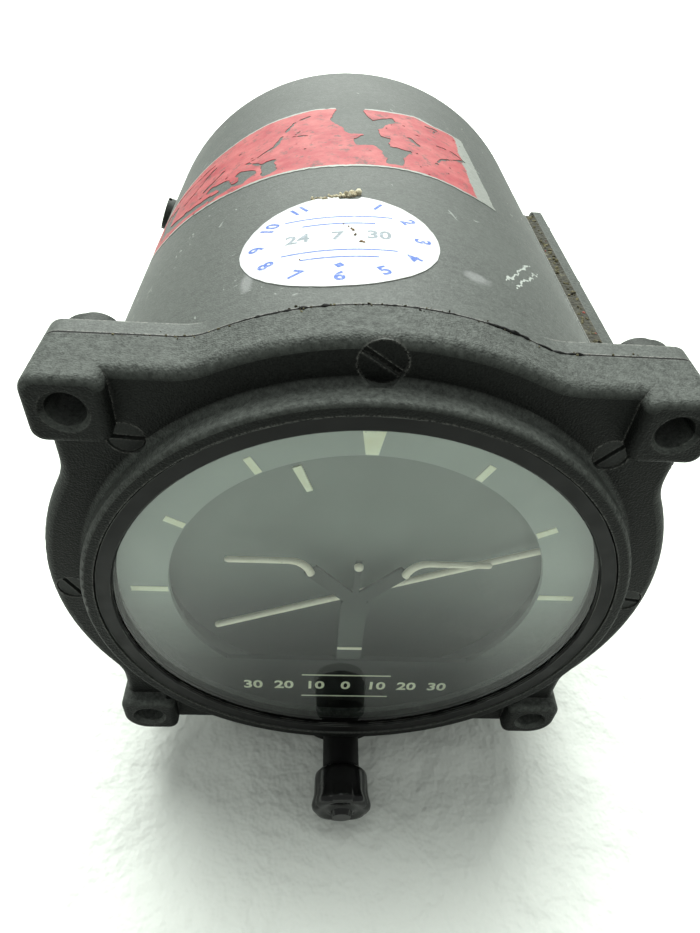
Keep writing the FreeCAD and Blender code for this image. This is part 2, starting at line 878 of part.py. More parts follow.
def make_knob_set_screw():
    bottom = -knob_axis_drop + knob_shaft_radius
    top = bottom + set_screw_length
    half = set_screw_slot_width / 2.0
    reach = set_screw_radius + overcut
    slot = box(-reach, reach, set_screw_y - half, set_screw_y + half, top - set_screw_slot_depth, top + overcut)
    return bar_z(set_screw_radius, bottom, top, 0, set_screw_y).cut(slot)


def make_knob_shaft():
    """The shaft with its crank disc and crank pin, in one piece."""
    shaft = disc(knob_shaft_radius, knob_back - knob_bore_depth, crank_disc_back, 0, -knob_axis_drop)
    crank = disc(crank_disc_radius, crank_disc_front, crank_disc_back, 0, -knob_axis_drop)
    pin = disc(crank_pin_radius, crank_disc_back, crank_disc_back + crank_pin_length, crank_radius, -knob_axis_drop)
    return fuse_all([shaft, crank, pin])


# Miniature airplane

def bracket_arm(side):
    """One slanting arm of the V shaped bracket, from the post's top to a wing root."""
    run_x = side * wing_root_reach
    run_z = wing_root_height + post_top_drop
    length = math.hypot(run_x, run_z)
    off_x = -run_z / length * bracket_width / 2.0 * side
    off_z = abs(run_x) / length * bracket_width / 2.0
    arm = [(off_x, -post_top_drop + off_z), (-off_x, -post_top_drop - off_z),
           (run_x - off_x, wing_root_height - off_z), (run_x + off_x, wing_root_height + off_z)]
    return plate_y(arm, post_front, post_back)


def post_foot():
    """The foot behind the dial, with the slot that the crank pin works in."""
    play = crank_pin_radius + crank_pin_play
    foot = box(-post_half_width, foot_side, foot_front, foot_back, -foot_drop, -post_jog_drop)
    slot_low = crank_radius * math.cos(math.radians(crank_swing_degrees)) - play - crank_pin_play
    slot_high = crank_radius + play + crank_pin_play
    slot = box(slot_low, slot_high, foot_front - overcut, foot_back + overcut,
               -knob_axis_drop - play, -knob_axis_drop + play)
    return foot.cut(slot)


def make_airplane_post():
    """The flat post, its V shaped bracket, the stem of the dot and the foot that the crank pin drives."""
    half = post_half_width
    parts = [box(-half, half, post_front, post_back, -post_jog_drop, -post_top_drop)]
    parts += [bracket_arm(side) for side in BOTH_SIDES]
    stem_half = dot_stem_width / 2.0
    parts.append(box(-stem_half, stem_half, post_front, post_back, -post_top_drop - post_thickness, dot_height))
    parts.append(box(-half, half, post_front, foot_back, -post_jog_drop, -post_jog_drop + post_thickness))
    parts.append(post_foot())
    return fuse_all(parts)


def rod_through(points, y, radius):
    """A round rod through points of x and z, with balls at its bends and ends."""
    pieces = []
    for start, end in zip(points, points[1:]):
        a = Vector(start[0], y, start[1])
        b = Vector(end[0], y, end[1])
        pieces.append(Part.makeCylinder(radius, (b - a).Length, a, b - a))
    for point in points:
        pieces.append(Part.makeSphere(radius, Vector(point[0], y, point[1])))
    return fuse_all(pieces)


def make_airplane_wings():
    """Two cream wings, straight outside and bent down to the bracket."""
    wings = []
    for side in BOTH_SIDES:
        points = [(side * wing_tip_reach, wing_height), (side * wing_bend_reach, wing_height),
                  (side * wing_root_reach, wing_root_height)]
        wings.append(rod_through(points, post_front - wing_rod_radius, wing_rod_radius))
    return Part.makeCompound(wings)


def make_airplane_dot():
    """The centre dot and the cream line at the bottom of the post, both on its front face."""
    dot_front = post_front - dot_radius
    dot = disc(dot_radius, dot_front, post_front, 0, dot_height - dot_radius)
    dot = dot.makeFillet(dot_round, edges_at_station(dot, dot_front))
    half = index_line_width / 2.0
    line = box(-post_half_width, post_half_width, post_front - mark_height, post_front,
               -index_line_drop - half, -index_line_drop + half)
    return Part.makeCompound([dot, line])


# Case

def make_flange_gasket():
    body = flange_outline(seam_y, case_flange_front)
    cuts = [disc(cavity_radius, seam_y - overcut, case_flange_front + overcut)]
    cuts += lug_bores(seam_y - overcut, case_flange_front + overcut)
    cuts += face_screw_holes(seam_y - overcut, case_flange_front + overcut)
    return cut_all(body, cuts)


def side_screw_places():
    """Stations and heights of the side cover's screws."""
    inset = side_border / 2.0
    first = side_front + inset
    last = side_boss_end - inset
    step = (last - first) / (side_screws_per_row - 1)
    rows = (-side_half_height + inset, side_half_height - inset)
    return [(first + step * index, z) for z in rows for index in range(side_screws_per_row)]


def side_screw_solids():
    screws = []
    for y, z in side_screw_places():
        head = bar_x(side_screw_head_radius, side_cover_outer, side_cover_outer + side_screw_head_height, y, z)
        shank = bar_x(side_screw_shank_radius, side_flat - side_screw_grip, side_cover_outer, y, z)
        screws.append(head.fuse(shank).removeSplitter())
    return screws


def left_plug_solid():
    """A plug in a tapped hole in the left side, built on top and then turned to its place."""
    thread = bar_z(left_plug_thread_radius, case_inner_radius, flange_radius, 0, left_plug_station)
    head = bar_z(left_plug_radius, flange_radius - left_plug_seat, left_plug_top, 0, left_plug_station)
    return turned_about_y(head.fuse(thread).removeSplitter(), left_plug_degrees)


def make_left_plug():
    reach = left_plug_radius + overcut
    half = left_plug_slot_width / 2.0
    slot = box(-reach, reach, left_plug_station - half, left_plug_station + half,
               left_plug_top - left_plug_slot_depth, left_plug_top + overcut)
    return left_plug_solid().cut(turned_about_y(slot, left_plug_degrees))


def bulkhead_screw_solids():
    face = bulkhead_front - bulkhead_screw_head_height
    length = bulkhead_thickness + bulkhead_screw_grip
    screws = []
    for x, z in even_places(bulkhead_screw_circle, bulkhead_screw_count, first_share=0.5):
        screws.append(screw_y(x, z, face, bulkhead_screw_head_radius, bulkhead_screw_head_height,
                              bulkhead_screw_shank_radius, length, -1))
    return screws


def rear_screw_solids():
    face = rear_plate_back + rear_screw_head_height
    length = rear_plate_thickness + rear_screw_grip
    screws = []
    for x, z in even_places(rear_screw_circle, rear_screw_count):
        screws.append(screw_y(x, z, face, rear_screw_head_radius, rear_screw_head_height,
                              rear_screw_shank_radius, length, 1))
    return screws


def case_outside():
    drum = disc(flange_radius, case_flange_front, case_depth)
    drum = drum.makeFillet(rear_round, edges_at_station(drum, case_depth))
    flange = flange_outline(case_flange_front, case_flange_back)
    boss = box(0, side_flat, side_front, side_boss_end, -side_half_height, side_half_height)
    body = fuse_all([drum, flange, boss])
    half = side_half_height + overcut
    beyond_flat = box(side_flat, flange_radius + overcut, side_front, case_depth + overcut, -half, half)
    return body.cut(beyond_flat)


def case_inside():
    """The room in the drum, less the shoulder that carries the bulkhead."""
    room = disc(case_inner_radius, case_flange_back, case_depth - rear_wall)
    shoulder = ring(case_inner_radius - shoulder_width, case_inner_radius + overcut,
                    bulkhead_back, bulkhead_back + shoulder_thickness)
    return room.cut(shoulder)


def make_case_shell():
    """The drum with its lug flange, rounded rear edge, inner shoulder and flat side opening."""
    mouth = disc(flange_radius - case_flange_land, case_flange_front - overcut, case_flange_back)
    rear_opening = disc(rear_opening_radius, case_depth - rear_wall - overcut, case_depth + overcut)
    rear_seat = disc(rear_plate_radius + rear_plate_clearance, rear_plate_front, case_depth + overcut)
    side_window = box(0, side_flat + overcut, side_front + side_border, side_window_end,
                      -side_window_half, side_window_half)
    cuts = [case_inside(), mouth, rear_opening, rear_seat, side_window, left_plug_solid()]
    cuts += lug_bores(0, case_flange_back + overcut)
    cuts += face_screw_holes(0, case_flange_back - face_screw_end_gap)
    cuts += bulkhead_screw_solids()
    cuts += rear_screw_solids()
    cuts += side_screw_solids()
    return cut_all(case_outside(), cuts)


def make_lug_nuts():
    """Self-locking nuts held behind the case ears."""
    base_back = case_flange_back + nut_height - nut_collar_height
    nut_back = case_flange_back + nut_height
    nuts = []
    for x, z in lug_places():
        base = disc(nut_radius, case_flange_back, base_back, x, z)
        base = base.makeChamfer(nut_chamfer, edges_at_station(base, base_back))
        collar = disc(nut_collar_radius, case_flange_back, nut_back, x, z)
        thread = disc(nut_thread_radius, case_flange_back - overcut, nut_back + overcut, x, z)
        nuts.append(base.fuse(collar).removeSplitter().cut(thread))
    return Part.makeCompound(nuts)


# Side cover

def make_side_gasket():
    outside = rounded_plate_x(side_flat, side_cover_inner, side_front, side_gasket_end,
                              -side_half_height, side_half_height, side_corner)
    inside = box(side_flat - overcut, side_cover_inner + overcut, side_front + side_border, side_window_end,
                 -side_window_half, side_window_half)
    return cut_all(outside, [inside] + side_screw_solids())


def make_side_cover():
    cover = rounded_plate_x(side_cover_inner, side_cover_outer, side_front, side_cover_end,
                            -side_half_height, side_half_height, side_corner)
    cover = cover.makeChamfer(fine_chamfer, edges_at_side(cover, side_cover_outer))
    return cut_all(cover, side_screw_solids())


# Rear plate and connector

def connector_screw_solids():
    face = connector_flange_back + connector_screw_head_height
    length = connector_flange_thickness + connector_screw_grip
    screws = []
    for x in BOTH_SIDES:
        for z in BOTH_SIDES:
            screws.append(screw_y(x * connector_screw_half, z * connector_screw_half, face,
                                  connector_screw_head_radius, connector_screw_head_height,
                                  connector_screw_shank_radius, length, 1))
    return screws


def make_rear_plate():
    plate = disc(rear_plate_radius, rear_plate_front, rear_plate_back)
    plate = plate.makeChamfer(fine_chamfer, edges_at_station(plate, rear_plate_back))
    insert_hole = disc(connector_inner_radius, rear_plate_front - overcut, rear_plate_back + overcut)
    return cut_all(plate, [insert_hole] + rear_screw_solids() + connector_screw_solids())


def make_connector_shell():
    """A round receptacle on a square flange."""
    half = connector_flange / 2.0
    flange = box(-half, half, rear_plate_back, connector_flange_back, -half, half)
    flange = flange.makeFillet(connector_corner, edges_along(flange, Y))
    barrel = disc(connector_barrel_radius, rear_plate_back, connector_end)
    barrel = barrel.makeChamfer(connector_end_chamfer, edges_at_station(barrel, connector_end))
    bore = disc(connector_inner_radius, rear_plate_back - overcut, connector_end + overcut)
    return cut_all(flange.fuse(barrel), [bore] + connector_screw_solids())


def connector_pin_solids():
    start = connector_insert_face - connector_pin_root
    end = connector_insert_face + connector_pin_reach
    places = [(0.0, 0.0)] + even_places(connector_pin_circle, connector_pin_count)
    return [disc(connector_pin_radius, start, end, x, z) for x, z in places]


def make_connector_insert():
    insert = disc(connector_inner_radius, rear_plate_front - connector_insert_tail, connector_insert_face)
    return insert.cut(Part.makeCompound(connector_pin_solids()))


# Bulkhead and roll bearings

def make_bulkhead():
    """The wall with the long hub that carries the roll gimbal from behind."""
    wall = disc(case_inner_radius - bulkhead_fit, bulkhead_front, bulkhead_back)
    parts = [wall, disc(hub_outer_radius, hub_front, hub_end)]
    half = rib_thickness / 2.0
    rib = box(-half, half, bulkhead_back, hub_end - rib_end_gap, roll_bearing_outer + rib_thickness,
              hub_outer_radius + rib_height)
    for index in range(rib_count):
        parts.append(turned_about_y(rib, 360.0 * (index + 0.5) / rib_count))
    body = fuse_all(parts)
    cuts = [disc(roll_bearing_outer - hub_lip, hub_front, hub_end)]
    cuts.append(disc(roll_bearing_outer, hub_front - overcut, roll_bearing_fronts[0] + roll_bearing_width))
    cuts.append(disc(roll_bearing_outer, roll_bearing_fronts[1], hub_end + overcut))
    for x, z in even_places(bulkhead_hole_circle, bulkhead_hole_count):
        cuts.append(disc(bulkhead_hole_radius, bulkhead_front - overcut, bulkhead_back + overcut, x, z))
    cuts += bulkhead_screw_solids()
    return cut_all(body, cuts)


def make_roll_bearing(front):
    """A shielded ball bearing: two races and a recessed shield, in one turned piece."""
    back = front + roll_bearing_width
    inner = roll_shaft_radius + running_fit
    outer = roll_bearing_outer
    profile = [(inner, front), (inner + bearing_race, front), (inner + bearing_race, front + bearing_relief),
               (outer - bearing_race, front + bearing_relief), (outer - bearing_race, front), (outer, front),
               (outer, back), (outer - bearing_race, back), (outer - bearing_race, back - bearing_relief),
               (inner + bearing_race, back - bearing_relief), (inner + bearing_race, back), (inner, back)]
    return turned_y(profile)


def make_roll_pickoff_stator():
    """The ring of coils on the bulkhead, with winding slots in its bore."""
    front = bulkhead_front - roll_stator_width
    stator = ring(roll_stator_inner, roll_stator_outer, front, bulkhead_front)
    half = winding_slot_width / 2.0
    slot = box(-half, half, front - overcut, bulkhead_front - winding_back,
               roll_stator_inner - overcut, roll_stator_inner + winding_slot_depth)
    slots = [turned_about_y(slot, 360.0 * index / winding_slot_count) for index in range(winding_slot_count)]
    return stator.cut(Part.makeCompound(slots))


def make_brush_block():
    """The block that holds the brushes over the slip rings, on a foot from the bulkhead."""
    half = brush_block_half_width
    top = brush_block_low + brush_block_thickness
    block = box(-half, half, hub_end - brush_block_lap, slip_ring_end, brush_block_low, top)
    block = block.cut(disc(hub_outer_radius, bulkhead_back, hub_end))
    foot = box(-half, half, bulkhead_back, hub_end, hub_outer_radius + brush_foot_gap, top + brush_foot_rise)
    return cut_all(block.fuse(foot), brush_solids())


def brush_solids():
    low = slip_ring_radius + brush_air
    brushes = []
    for index in range(slip_ring_count):
        y = slip_ring_start + slip_ring_pitch * (index + 0.5)
        brushes.append(bar_z(brush_radius, low, brush_block_low + brush_depth, 0, y))
    return brushes


# Roll gimbal

def arc_slot_cut():
    """The curved slot round the pitch axis that the drive pin passes through."""
    reach = drive_pin_radius + drive_slot_play
    x0 = gimbal_inner - overcut
    x1 = gimbal_half_width + overcut
    band = tube_x(drive_pin_offset - reach, drive_pin_offset + reach, x0, x1, pitch_station, 0)
    sweep = math.radians(pitch_limit_degrees + arc_slot_extra_degrees)
    edge_y = pitch_station - arc_slot_reach * math.cos(sweep)
    edge_z = arc_slot_reach * math.sin(sweep)
    far_y = pitch_station - arc_slot_reach
    wedge = [(pitch_station, 0.0), (edge_y, -edge_z), (far_y, -edge_z), (far_y, edge_z), (edge_y, edge_z)]
    return band.common(plate_x(wedge, x0, x1))


def make_roll_gimbal_frame():
    """A cast rectangular frame, open inside, with bosses for the pitch bearings."""
    half = gimbal_half_width
    outer = box(-half, half, gimbal_front, gimbal_rear, -gimbal_half_height, gimbal_half_height)
    outer = outer.makeFillet(gimbal_corner, edges_along(outer, Z))
    window_half = gimbal_half_height + overcut
    inner = box(-gimbal_inner, gimbal_inner, gimbal_window_front, gimbal_window_rear, -window_half, window_half)
    parts = [outer.cut(inner)]
    for side in BOTH_SIDES:
        low, high = span(side, gimbal_inner, half)
        parts.append(bar_x(pitch_boss_radius, low, high, pitch_station, 0))
    parts.append(box(-roll_rotor_outer, roll_rotor_outer, gimbal_window_rear, gimbal_rear,
                     -gimbal_rear_half_height, gimbal_rear_half_height))
    parts.append(disc(sky_hub_radius, sky_plate_back, gimbal_front))
    parts.append(disc(roll_rotor_outer, gimbal_window_rear, gimbal_rear))
    cuts = [bar_x(pitch_bearing_outer, -half - overcut, half + overcut, pitch_station, 0), arc_slot_cut()]
    cuts.append(bar_x(arm_pivot_radius, gimbal_inner - overcut, half + overcut, arm_pivot_station, 0))
    cuts += sky_screw_solids()
    return cut_all(fuse_all(parts), cuts)


def make_roll_shaft():
    flange = disc(roll_rotor_inner - roll_flange_gap, gimbal_rear, gimbal_rear + roll_flange_thickness)
    shaft = disc(roll_shaft_radius, gimbal_rear, roll_shaft_end)
    bore = disc(roll_shaft_radius - roll_shaft_wall, gimbal_rear + roll_shaft_bore_start, roll_shaft_end + overcut)
    return flange.fuse(shaft).removeSplitter().cut(bore)


def make_roll_pickoff_rotor():
    return ring(roll_rotor_inner, roll_rotor_outer, gimbal_rear, gimbal_rear + roll_rotor_width)


def make_slip_rings():
    """Contact rings on the roll shaft, with insulating lands between them."""
    low = slip_ring_radius - slip_ring_groove
    profile = [(roll_shaft_radius, slip_ring_start)]
    for index in range(slip_ring_count):
        start = slip_ring_start + slip_ring_pitch * index
        groove_start = start + slip_ring_land
        groove_end = start + slip_ring_pitch - slip_ring_land
        profile += [(slip_ring_radius, start), (slip_ring_radius, groove_start), (low, groove_start),
                    (low, groove_end), (slip_ring_radius, groove_end)]
    profile += [(slip_ring_radius, slip_ring_end), (roll_shaft_radius, slip_ring_end)]
    return turned_y(profile)


def sky_screw_solids():
    screws = []
    for x, z in even_places(sky_screw_circle, sky_screw_count):
        screws.append(disc(sky_screw_radius, sky_plate_front, sky_plate_front + sky_screw_length, x, z))
    return screws


def make_sky_plate():
    plate = disc(sky_plate_radius, sky_plate_front, sky_plate_back)
    plate = plate.makeFillet(sky_plate_round, edges_at_station(plate, sky_plate_front))
    return plate.cut(Part.makeCompound(sky_screw_solids()))


def make_bank_pointer():
    half_in = pointer_inner_width / 2.0
    half_out = pointer_width / 2.0
    corners = [(-half_in, pointer_inner), (half_in, pointer_inner), (half_out, pointer_outer), (-half_out, pointer_outer)]
    return plate_y(corners, sky_plate_front - pointer_thickness, sky_plate_front)


def make_balance_weight():
    """The weight on the left arm that balances the horizon arm."""
    x0 = -gimbal_half_width - balance_weight_thickness
    weight = bar_x(balance_weight_radius, x0, -gimbal_half_width, arm_pivot_station, 0)
    return weight.makeChamfer(balance_weight_chamfer, edges_at_side(weight, x0))


def make_pitch_pickoff_stator():
    x0 = -gimbal_half_width - pitch_stator_width
    return tube_x(pitch_stator_inner, pitch_stator_outer, x0, -gimbal_half_width, pitch_station, 0)


def make_pitch_bearings():
    middle = (gimbal_inner + gimbal_half_width) / 2.0
    half = pitch_bearing_width / 2.0
    bearings = []
    for side in BOTH_SIDES:
        x0, x1 = span(side, middle - half, middle + half)
        bearings.append(tube_x(trunnion_radius + running_fit, pitch_bearing_outer, x0, x1, pitch_station, 0))
    return Part.makeCompound(bearings)


# Horizon bar

def make_horizon_bar():
    """The cream rod across the dial. It ends in the arm on the right."""
    rod = bar_x(bar_radius, -bar_free_reach, arm_inner, bar_station, -bar_drop)
    end = Part.makeSphere(bar_radius, Vector(-bar_free_reach, bar_station, -bar_drop))
    return rod.fuse(end).removeSplitter()


def make_horizon_arm():
    """The flat arm outside the gimbal, with the slot that the drive pin works in."""
    front = bar_station - bar_radius
    tail = arm_pivot_station + arm_tail
    swell_front = arm_slot_station - arm_swell_front
    swell_rear = arm_slot_station + arm_swell_rear
    upper = [(front, -bar_drop + arm_tip_half_height), (swell_front - arm_swell_run, arm_half_height),
             (swell_front, arm_swell_half_height), (swell_rear, arm_swell_half_height),
             (swell_rear + arm_swell_run, arm_half_height), (tail, arm_half_height)]
    lower = [(tail, -arm_half_height), (swell_rear + arm_swell_run, -arm_half_height),
             (swell_rear, -arm_swell_half_height), (swell_front, -arm_swell_half_height),
             (swell_front - arm_swell_run, -arm_half_height), (front, -bar_drop - arm_tip_half_height)]
    arm = plate_x(upper + lower, arm_inner, arm_outer)
    pin_reach = drive_pin_radius + drive_slot_play
    slot_end = pitch_station - drive_pin_offset * math.cos(math.radians(pitch_limit_degrees)) + pin_reach
    slot = box(arm_inner - overcut, arm_outer + overcut, arm_slot_station - pin_reach, slot_end + drive_slot_play,
               -pin_reach, pin_reach)
    pivot = bar_x(arm_pivot_radius + running_fit, arm_inner - overcut, arm_outer + overcut, arm_pivot_station, 0)
    return arm.cut(slot).cut(pivot)


def make_horizon_counterweight():
    station = arm_pivot_station + arm_tail - counterweight_radius
    return bar_x(counterweight_radius, arm_outer, arm_outer + counterweight_width, station, 0)


def make_horizon_pivot():
    """The shoulder pin in the gimbal that the arm turns on."""
    head_inner = arm_outer + arm_shake
    head_outer = head_inner + arm_pivot_head_height
    pin = bar_x(arm_pivot_radius, gimbal_inner, head_outer, arm_pivot_station, 0)
    collar = tube_x(arm_pivot_radius, arm_pivot_head_radius, gimbal_half_width, arm_inner - arm_shake,
                    arm_pivot_station, 0)
    head = bar_x(arm_pivot_head_radius, head_inner, head_outer, arm_pivot_station, 0)
    return fuse_all([pin, collar, head])


# Rotor housing

def spin_bearing_pocket(side):
    """The bearing pocket in one end of the housing."""
    low, high = span(side, spin_pocket_start, spin_pocket_start + spin_bearing_width)
    return bar_z(spin_bearing_outer, low, high, 0, pitch_station)


def housing_screw_solids():
    circle = housing_radius + (housing_flange - housing_wall) / 2.0
    top = housing_split + housing_flange_height
    screws = []
    for across, along in even_places(circle, housing_screw_count):
        x = across
        y = pitch_station + along
        head = bar_z(housing_screw_head_radius, top, top + housing_screw_head_height, x, y)
        shank = bar_z(housing_screw_radius, top - housing_screw_length, top, x, y)
        screws.append(head.fuse(shank).removeSplitter())
    return screws


def trunnion_pads():
    """Flat pads on both sides of the lower housing, under its flange."""
    pads = []
    for side in BOTH_SIDES:
        low, high = span(side, housing_inner_radius + trunnion_pad_root, trunnion_pad_reach)
        pads.append(bar_x(trunnion_pad_radius, low, high, pitch_station, 0))
    room = bar_z(housing_inner_radius, -housing_half_height, housing_half_height, 0, pitch_station)
    return Part.makeCompound(pads).cut(room)


def make_rotor_housing_lower():
    r = housing_radius
    h = housing_half_height
    flange_r = r + housing_flange
    flange_low = housing_split - housing_flange_height
    inner_r = housing_inner_radius
    floor = -h + housing_wall
    profile = [(0, -h), (r - housing_corner, -h), (r, -h + housing_corner), (r, flange_low),
               (flange_r, flange_low), (flange_r, housing_split), (inner_r, housing_split),
               (inner_r, floor + housing_inner_corner), (inner_r - housing_inner_corner, floor),
               (spin_boss_radius, floor), (spin_boss_radius, -spin_boss_face), (0, -spin_boss_face)]
    body = turned_z(profile, pitch_station).fuse(trunnion_pads()).removeSplitter()
    shaft_room = bar_z(spin_shaft_radius + spin_shaft_room, floor, 0, 0, pitch_station)
    return cut_all(body, [spin_bearing_pocket(-1), shaft_room] + housing_screw_solids())


def make_rotor_housing_upper():
    """The cap, with the stem that the motor windings sit on."""
    r = housing_radius
    h = housing_half_height
    flange_r = r + housing_flange
    flange_high = housing_split + housing_flange_height
    inner_r = housing_inner_radius
    ceiling = h - housing_wall
    profile = [(0, h), (r - housing_corner, h), (r, h - housing_corner), (r, flange_high),
               (flange_r, flange_high), (flange_r, housing_split), (inner_r, housing_split),
               (inner_r, ceiling - housing_inner_corner), (inner_r - housing_inner_corner, ceiling),
               (spin_boss_radius, ceiling), (spin_boss_radius, spin_boss_face),
               (stator_stem_radius, spin_boss_face), (stator_stem_radius, stator_low), (0, stator_low)]
    body = turned_z(profile, pitch_station)
    shaft_room = bar_z(spin_shaft_radius + spin_shaft_room, stator_low - overcut, ceiling, 0, pitch_station)
    return cut_all(body, [spin_bearing_pocket(1), shaft_room] + housing_screw_solids())


def drive_pin_solid():
    """The pin that carries the housing's pitch to the horizon arm."""
    return bar_x(drive_pin_radius, trunnion_pad_reach, arm_outer + drive_pin_proud, arm_slot_station, 0)


def make_trunnions():
    """The plates and pins that the rotor housing turns on. The left pin also carries the pitch pick-off."""
    pin_ends = {-1: gimbal_half_width + pitch_stator_width - trunnion_end_gap, 1: gimbal_half_width - trunnion_end_gap}
    trunnions = []
    for side in BOTH_SIDES:
        plate_low, plate_high = span(side, trunnion_pad_reach, trunnion_plate_face)
        plate = bar_x(trunnion_pad_radius, plate_low, plate_high, pitch_station, 0)
        pin_low, pin_high = span(side, trunnion_plate_face, pin_ends[side])
        pin = bar_x(trunnion_radius, pin_low, pin_high, pitch_station, 0)
        trunnions.append(plate.fuse(pin).removeSplitter().cut(drive_pin_solid()))
    return Part.makeCompound(trunnions)


def make_pitch_pickoff_rotor():
    x0 = -gimbal_half_width - pitch_stator_width + pitch_rotor_end_gap
    x1 = -gimbal_half_width - pitch_rotor_end_gap
    return tube_x(trunnion_radius, pitch_rotor_radius, x0, x1, pitch_station, 0)


def make_motor_stator():
    """The windings on the cap's stem, with slots round them."""
    stator = bar_z(stator_radius, stator_low, stator_high, 0, pitch_station)
    cuts = [bar_z(stator_stem_radius, stator_low - overcut, stator_high + overcut, 0, pitch_station)]
    for x, along in even_places(stator_radius, winding_slot_count):
        cuts.append(bar_z(motor_slot_radius, stator_low - overcut, stator_high + overcut, x, pitch_station + along))
    return stator.cut(Part.makeCompound(cuts))


def make_spin_bearings():
    bore = bar_z(spin_shaft_radius + running_fit, -housing_half_height, housing_half_height, 0, pitch_station)
    return Part.makeCompound([spin_bearing_pocket(side).cut(bore) for side in BOTH_SIDES])


# Gyro wheel

def make_gyro_wheel():
    """A heavy rimmed bell that turns round the motor windings."""
    h = wheel_half_height
    web_top = stator_low - wheel_web_gap
    hub_bottom = web_top - wheel_web
    web_bottom = hub_bottom + wheel_web_step
    profile = [(spin_shaft_radius, hub_bottom), (wheel_hub_radius, hub_bottom),
               (wheel_hub_radius + wheel_hub_blend, web_bottom), (wheel_rim_inner, web_bottom),
               (wheel_rim_inner, -h), (wheel_radius - wheel_corner, -h), (wheel_radius, -h + wheel_corner),
               (wheel_radius, h - wheel_corner), (wheel_radius - wheel_corner, h), (wheel_rim_inner, h),
               (wheel_rim_inner, web_top), (spin_shaft_radius, web_top)]
    return turned_z(profile, pitch_station)


def make_spin_shaft():
    end = spin_pocket_start + spin_bearing_width - spin_shaft_end_gap
    shaft = bar_z(spin_shaft_radius, -end, end, 0, pitch_station)
    return shaft.makeChamfer(fine_chamfer, [edge for edge in shaft.Edges if isinstance(edge.Curve, Part.Circle)])


def save_front():
    save("front_casting", make_front_casting())
    save("face_screws", make_face_screws())
    save("face_plug", make_face_plug())
    save("cover_glass", make_cover_glass())
    save("glass_gasket", make_glass_gasket())
    save("glass_retainer", make_glass_retainer())
    save("dial_mask", make_dial_mask())
    save("mask_clip", make_mask_clip())
    save("bank_marks", make_bank_marks())
    save("knob_bush", make_knob_bush())
    save("knob", make_knob())
    save("knob_set_screw", make_knob_set_screw())
    save("knob_shaft", make_knob_shaft())
    save("airplane_post", make_airplane_post())
    save("airplane_wings", make_airplane_wings())
    save("airplane_dot", make_airplane_dot())


def save_case():
    save("flange_gasket", make_flange_gasket())
    save("case_shell", make_case_shell())
    save("lug_nuts", make_lug_nuts())
    save("left_plug", make_left_plug())
    save("side_gasket", make_side_gasket())
    save("side_cover", make_side_cover())
    save("side_cover_screws", Part.makeCompound(side_screw_solids()))
    save("rear_plate", make_rear_plate())
    save("rear_plate_screws", Part.makeCompound(rear_screw_solids()))
    save("connector_shell", make_connector_shell())
    save("connector_insert", make_connector_insert())
    save("connector_pins", Part.makeCompound(connector_pin_solids()))
    save("connector_screws", Part.makeCompound(connector_screw_solids()))
    save("bulkhead", make_bulkhead())
    save("bulkhead_screws", Part.makeCompound(bulkhead_screw_solids()))
    save("roll_bearing_front", make_roll_bearing(roll_bearing_fronts[0]))
    save("roll_bearing_rear", make_roll_bearing(roll_bearing_fronts[1]))
    save("roll_pickoff_stator", make_roll_pickoff_stator())
    save("brush_block", make_brush_block())
    save("brushes", Part.makeCompound(brush_solids()))


def save_gimbals():
    save_rolled("roll_gimbal_frame", make_roll_gimbal_frame())
    save_rolled("roll_shaft", make_roll_shaft())
    save_rolled("roll_pickoff_rotor", make_roll_pickoff_rotor())
    save_rolled("slip_rings", make_slip_rings())
    save_rolled("sky_plate", make_sky_plate())
    save_rolled("sky_plate_screws", Part.makeCompound(sky_screw_solids()))
    save_rolled("bank_pointer", make_bank_pointer())
    save_rolled("balance_weight", make_balance_weight())
    save_rolled("pitch_bearings", make_pitch_bearings())
    save_rolled("pitch_pickoff_stator", make_pitch_pickoff_stator())
    save_rolled("horizon_pivot", make_horizon_pivot())
    save_rolled("horizon_bar", make_horizon_bar())
    save_rolled("horizon_arm", make_horizon_arm())
    save_rolled("horizon_counterweight", make_horizon_counterweight())
    save_rolled("rotor_housing_lower", make_rotor_housing_lower())
    save_rolled("rotor_housing_upper", make_rotor_housing_upper())
    save_rolled("housing_screws", Part.makeCompound(housing_screw_solids()))
    save_rolled("trunnions", make_trunnions())
    save_rolled("drive_pin", drive_pin_solid())
    save_rolled("pitch_pickoff_rotor", make_pitch_pickoff_rotor())
    save_rolled("motor_stator", make_motor_stator())
    save_rolled("spin_bearings", make_spin_bearings())
    save_rolled("gyro_wheel", make_gyro_wheel())
    save_rolled("spin_shaft", make_spin_shaft())


os.makedirs("parts", exist_ok=True)
save_front()
save_case()
save_gimbals()
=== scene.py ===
import math
import random

import bmesh
import bpy
import numpy as np
from mathutils import Matrix, Vector, noise
from mathutils.bvhtree import BVHTree


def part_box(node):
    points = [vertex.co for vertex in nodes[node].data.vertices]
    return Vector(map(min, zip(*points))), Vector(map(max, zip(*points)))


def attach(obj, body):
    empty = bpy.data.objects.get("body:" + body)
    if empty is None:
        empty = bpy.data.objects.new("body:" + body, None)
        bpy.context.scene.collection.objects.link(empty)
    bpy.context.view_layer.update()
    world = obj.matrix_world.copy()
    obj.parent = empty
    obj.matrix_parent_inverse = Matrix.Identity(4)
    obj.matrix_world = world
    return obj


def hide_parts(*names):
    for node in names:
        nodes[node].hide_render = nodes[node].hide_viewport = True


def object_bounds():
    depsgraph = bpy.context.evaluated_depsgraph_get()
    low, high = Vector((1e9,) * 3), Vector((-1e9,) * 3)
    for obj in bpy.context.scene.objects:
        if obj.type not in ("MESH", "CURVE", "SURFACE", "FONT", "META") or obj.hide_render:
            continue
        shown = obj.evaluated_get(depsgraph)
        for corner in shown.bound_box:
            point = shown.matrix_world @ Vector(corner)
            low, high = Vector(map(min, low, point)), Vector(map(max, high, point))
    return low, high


MM = 0.001
IMAGE_HEIGHT = 933

